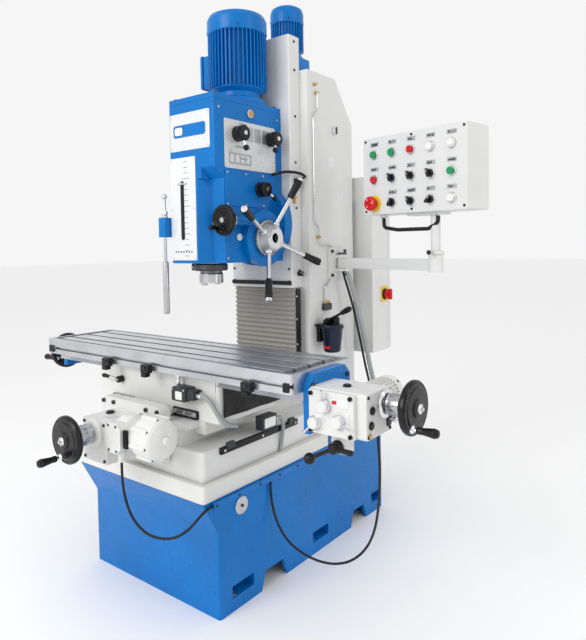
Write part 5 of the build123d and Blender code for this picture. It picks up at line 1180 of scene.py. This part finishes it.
# Y drive: plate bolts, oil plug, plates and the bearing collar.
drive = Shell()
for x in (-138, -84, 84, 138):
    cap_screw(drive, (x, -580, 640), -Y, 7, 7, 0)
for x in (-138, 138):
    for z in (500, 570):
        cap_screw(drive, (x, -580, z), -Y, 7, 7, 0)
turned(drive, [(0, 0), (14, 0), (14, 5), (11, 8), (0, 8)], (-20, -640, 627), Z, 1.2, 8, 2)
block(drive, (5, -690, 626), (50, -640, 628.4), 4, 0.5, 1, 2)
for x in (-50, 50):
    for z in (506, 617):
        cap_screw(drive, (x, -713, z), -Y, 5, 4, 0)
turned(drive, [(12.8, 0), (44, 0), (44, 6), (38, 14), (30, 16), (12.8, 16)], (0, -713, 588), -Y, 2, 56,
    3, ring=True)
piece("cross_drive_fittings", drive, "base", [dark_steel, name_plate, black, white])

# Plinth: round cover, jack-bolt heads in the pockets and a row of screws; tray drain.
wall = 316.5
base = Shell()
turned(base, [(0, 0), (29, 0), (29, 3), (26, 5), (0, 5)], (wall, -400, 328), X, 1, 48, 0)
turned(base, [(0, 0), (6, 0), (6, 3), (0, 3)], (wall + 5, -400, 328), X, 0.8, 6, 1)
for sx in (-1, 1):
    for y in (-430, 0, 430):
        turned(base, [(0, 0), (17, 0), (17, 3), (0, 3)], (sx * 292.5, y, 43), Z, 1, 28, 0)
        turned(base, [(0, 3), (13, 3), (13, 13), (0, 13)], (sx * 292.5, y, 43), Z, 1.2, 6, 1)
for y in (-520, -420, -320, -220, -120, -40):
    cap_screw(base, (330.5, y, 372), X, 4, 2.5, 1)
piece("plinth_fittings", base, "base", [steel, dark_steel])
drain = Shell()
turned(drain, [(0, 0), (22, 0), (22, 3), (17, 4), (0, 4)], (250, -520, 395), Z, 0.8, 40, 0)
for k in range(5):
    block(drain, (236 + 6 * k, -532, 398), (239 + 6 * k, -508, 399.6), 1, 0.3, 1, 2)
piece("tray_drain", drain, "base", [steel, black])

# Pleated shroud of the conduit between the arm and the cabinet.
piece("arm_conduit", cuff, "base", [grey_hose, chrome, rubber])


def cable(name, node, route):
    """A free cable: one NURBS spline of the third order through the route's control points."""
    curve = bpy.data.curves.new(name, "CURVE")
    curve.dimensions = "3D"
    spline = curve.splines.new("NURBS")
    spline.points.add(len(route) - 1)
    flat = np.array([[x * MM, y * MM, z * MM, 1.0] for x, y, z in route])
    spline.points.foreach_set("co", flat.ravel())
    spline.order_u = 3
    spline.use_endpoint_u = True
    spline.resolution_u = 12
    curve.bevel_depth = 0.004
    curve.bevel_resolution = 5
    curve.materials.append(rubber)
    made = bpy.data.objects.new(name, curve)
    scene.collection.objects.link(made)
    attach(made, "base")
    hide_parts(node)
    return made


scene = bpy.context.scene
cable("cross_motor_cable", "y_motor_cable", [
    (105, -693, 512), (105, -693, 480), (107, -693, 444), (117, -692, 398), (136, -689, 356),
        (165, -683, 324),
    (203, -672, 303), (247, -654, 299), (282, -640, 308), (308, -620, 328), (321, -596, 352),
        (323.5, -560, 372),
    (323.5, -530, 372)])
cable("drive_cable", "x_drive_cable", [
    (323.5, -262, 364), (323.5, -262, 322), (331, -261, 270), (346, -254, 216), (372, -240, 164),
        (411, -216, 124),
    (458, -192, 100), (510, -174, 96), (560, -163, 112), (606, -164, 148), (646, -176, 196),
        (680, -198, 252),
    (709, -226, 312), (734, -257, 374), (756, -288, 438), (774, -316, 504), (788, -342, 562),
        (795, -362, 612),
    (795, -362, 648)])

# ---------------------------------------------------------------- camera and light

scene = bpy.context.scene
YAW, PITCH, ROLL = 37.6, 2.6, -0.9  # degrees
PLACE = (1.59708, -1.76328, 1.1502)  # metres
LENS_MM, SHIFT_X, SHIFT_Y = 33.45, -0.003, -0.0734
yaw, pitch, roll = radians(YAW), radians(PITCH), radians(ROLL)
forward = Vector((-sin(yaw) * cos(pitch), cos(yaw) * cos(pitch), -sin(pitch)))
flat_right = Vector((cos(yaw), sin(yaw), 0))
flat_up = flat_right.cross(forward)
right = flat_right * cos(roll) + flat_up * sin(roll)
upward = flat_up * cos(roll) - flat_right * sin(roll)
lens = bpy.data.cameras.new("view")
lens.lens = LENS_MM
lens.sensor_width = 36
lens.shift_x = SHIFT_X
lens.shift_y = SHIFT_Y
camera = bpy.data.objects.new("camera", lens)
camera.matrix_world = Matrix((
    (right.x, upward.x, -forward.x, PLACE[0]),
    (right.y, upward.y, -forward.y, PLACE[1]),
    (right.z, upward.z, -forward.z, PLACE[2]),
    (0, 0, 0, 1),
))
scene.collection.objects.link(camera)
scene.camera = camera

world = bpy.data.worlds.new("studio")
scene.world = world
world.use_nodes = True
world.node_tree.nodes["Background"].inputs["Color"].default_value = (1.0, 1.0, 1.0, 1.0)
world.node_tree.nodes["Background"].inputs["Strength"].default_value = 0.92
scene.view_settings.view_transform = "Standard"


def softbox(name, place, target, size, power):
    """A large rectangular light aimed at a point."""
    lamp = bpy.data.lights.new(name, "AREA")
    lamp.shape = "RECTANGLE"
    lamp.size, lamp.size_y = size
    lamp.energy = power
    made = bpy.data.objects.new(name, lamp)
    made.location = place
    made.rotation_mode = "QUATERNION"
    made.rotation_quaternion = (Vector(target) - Vector(place)).to_track_quat("-Z", "Y")
    scene.collection.objects.link(made)
    return made


softbox("key", (-0.3, -4.2, 2.7), (0, 0, 1.0), (2.2, 2.2), 85)
softbox("right strip", (3.6, 0.2, 2.2), (0, 0, 1.0), (0.8, 3.0), 14)

floor_finish = Finish("studio floor", base_color=(0.93, 0.93, 0.93), roughness=0.75)
floor_finish.set("Roughness", floor_finish.ramp(floor_finish.noise(3, 2), 0.7, 0.8))
floor_mesh = bpy.data.meshes.new("floor")
floor_mesh.from_pydata([(-40, -40, 0), (40, -40, 0), (40, 40, 0), (-40, 40, 0)], [], [(0, 1, 2, 3)])
floor_mesh.materials.append(floor_finish.material)
floor = bpy.data.objects.new("floor", floor_mesh)
scene.collection.objects.link(floor)
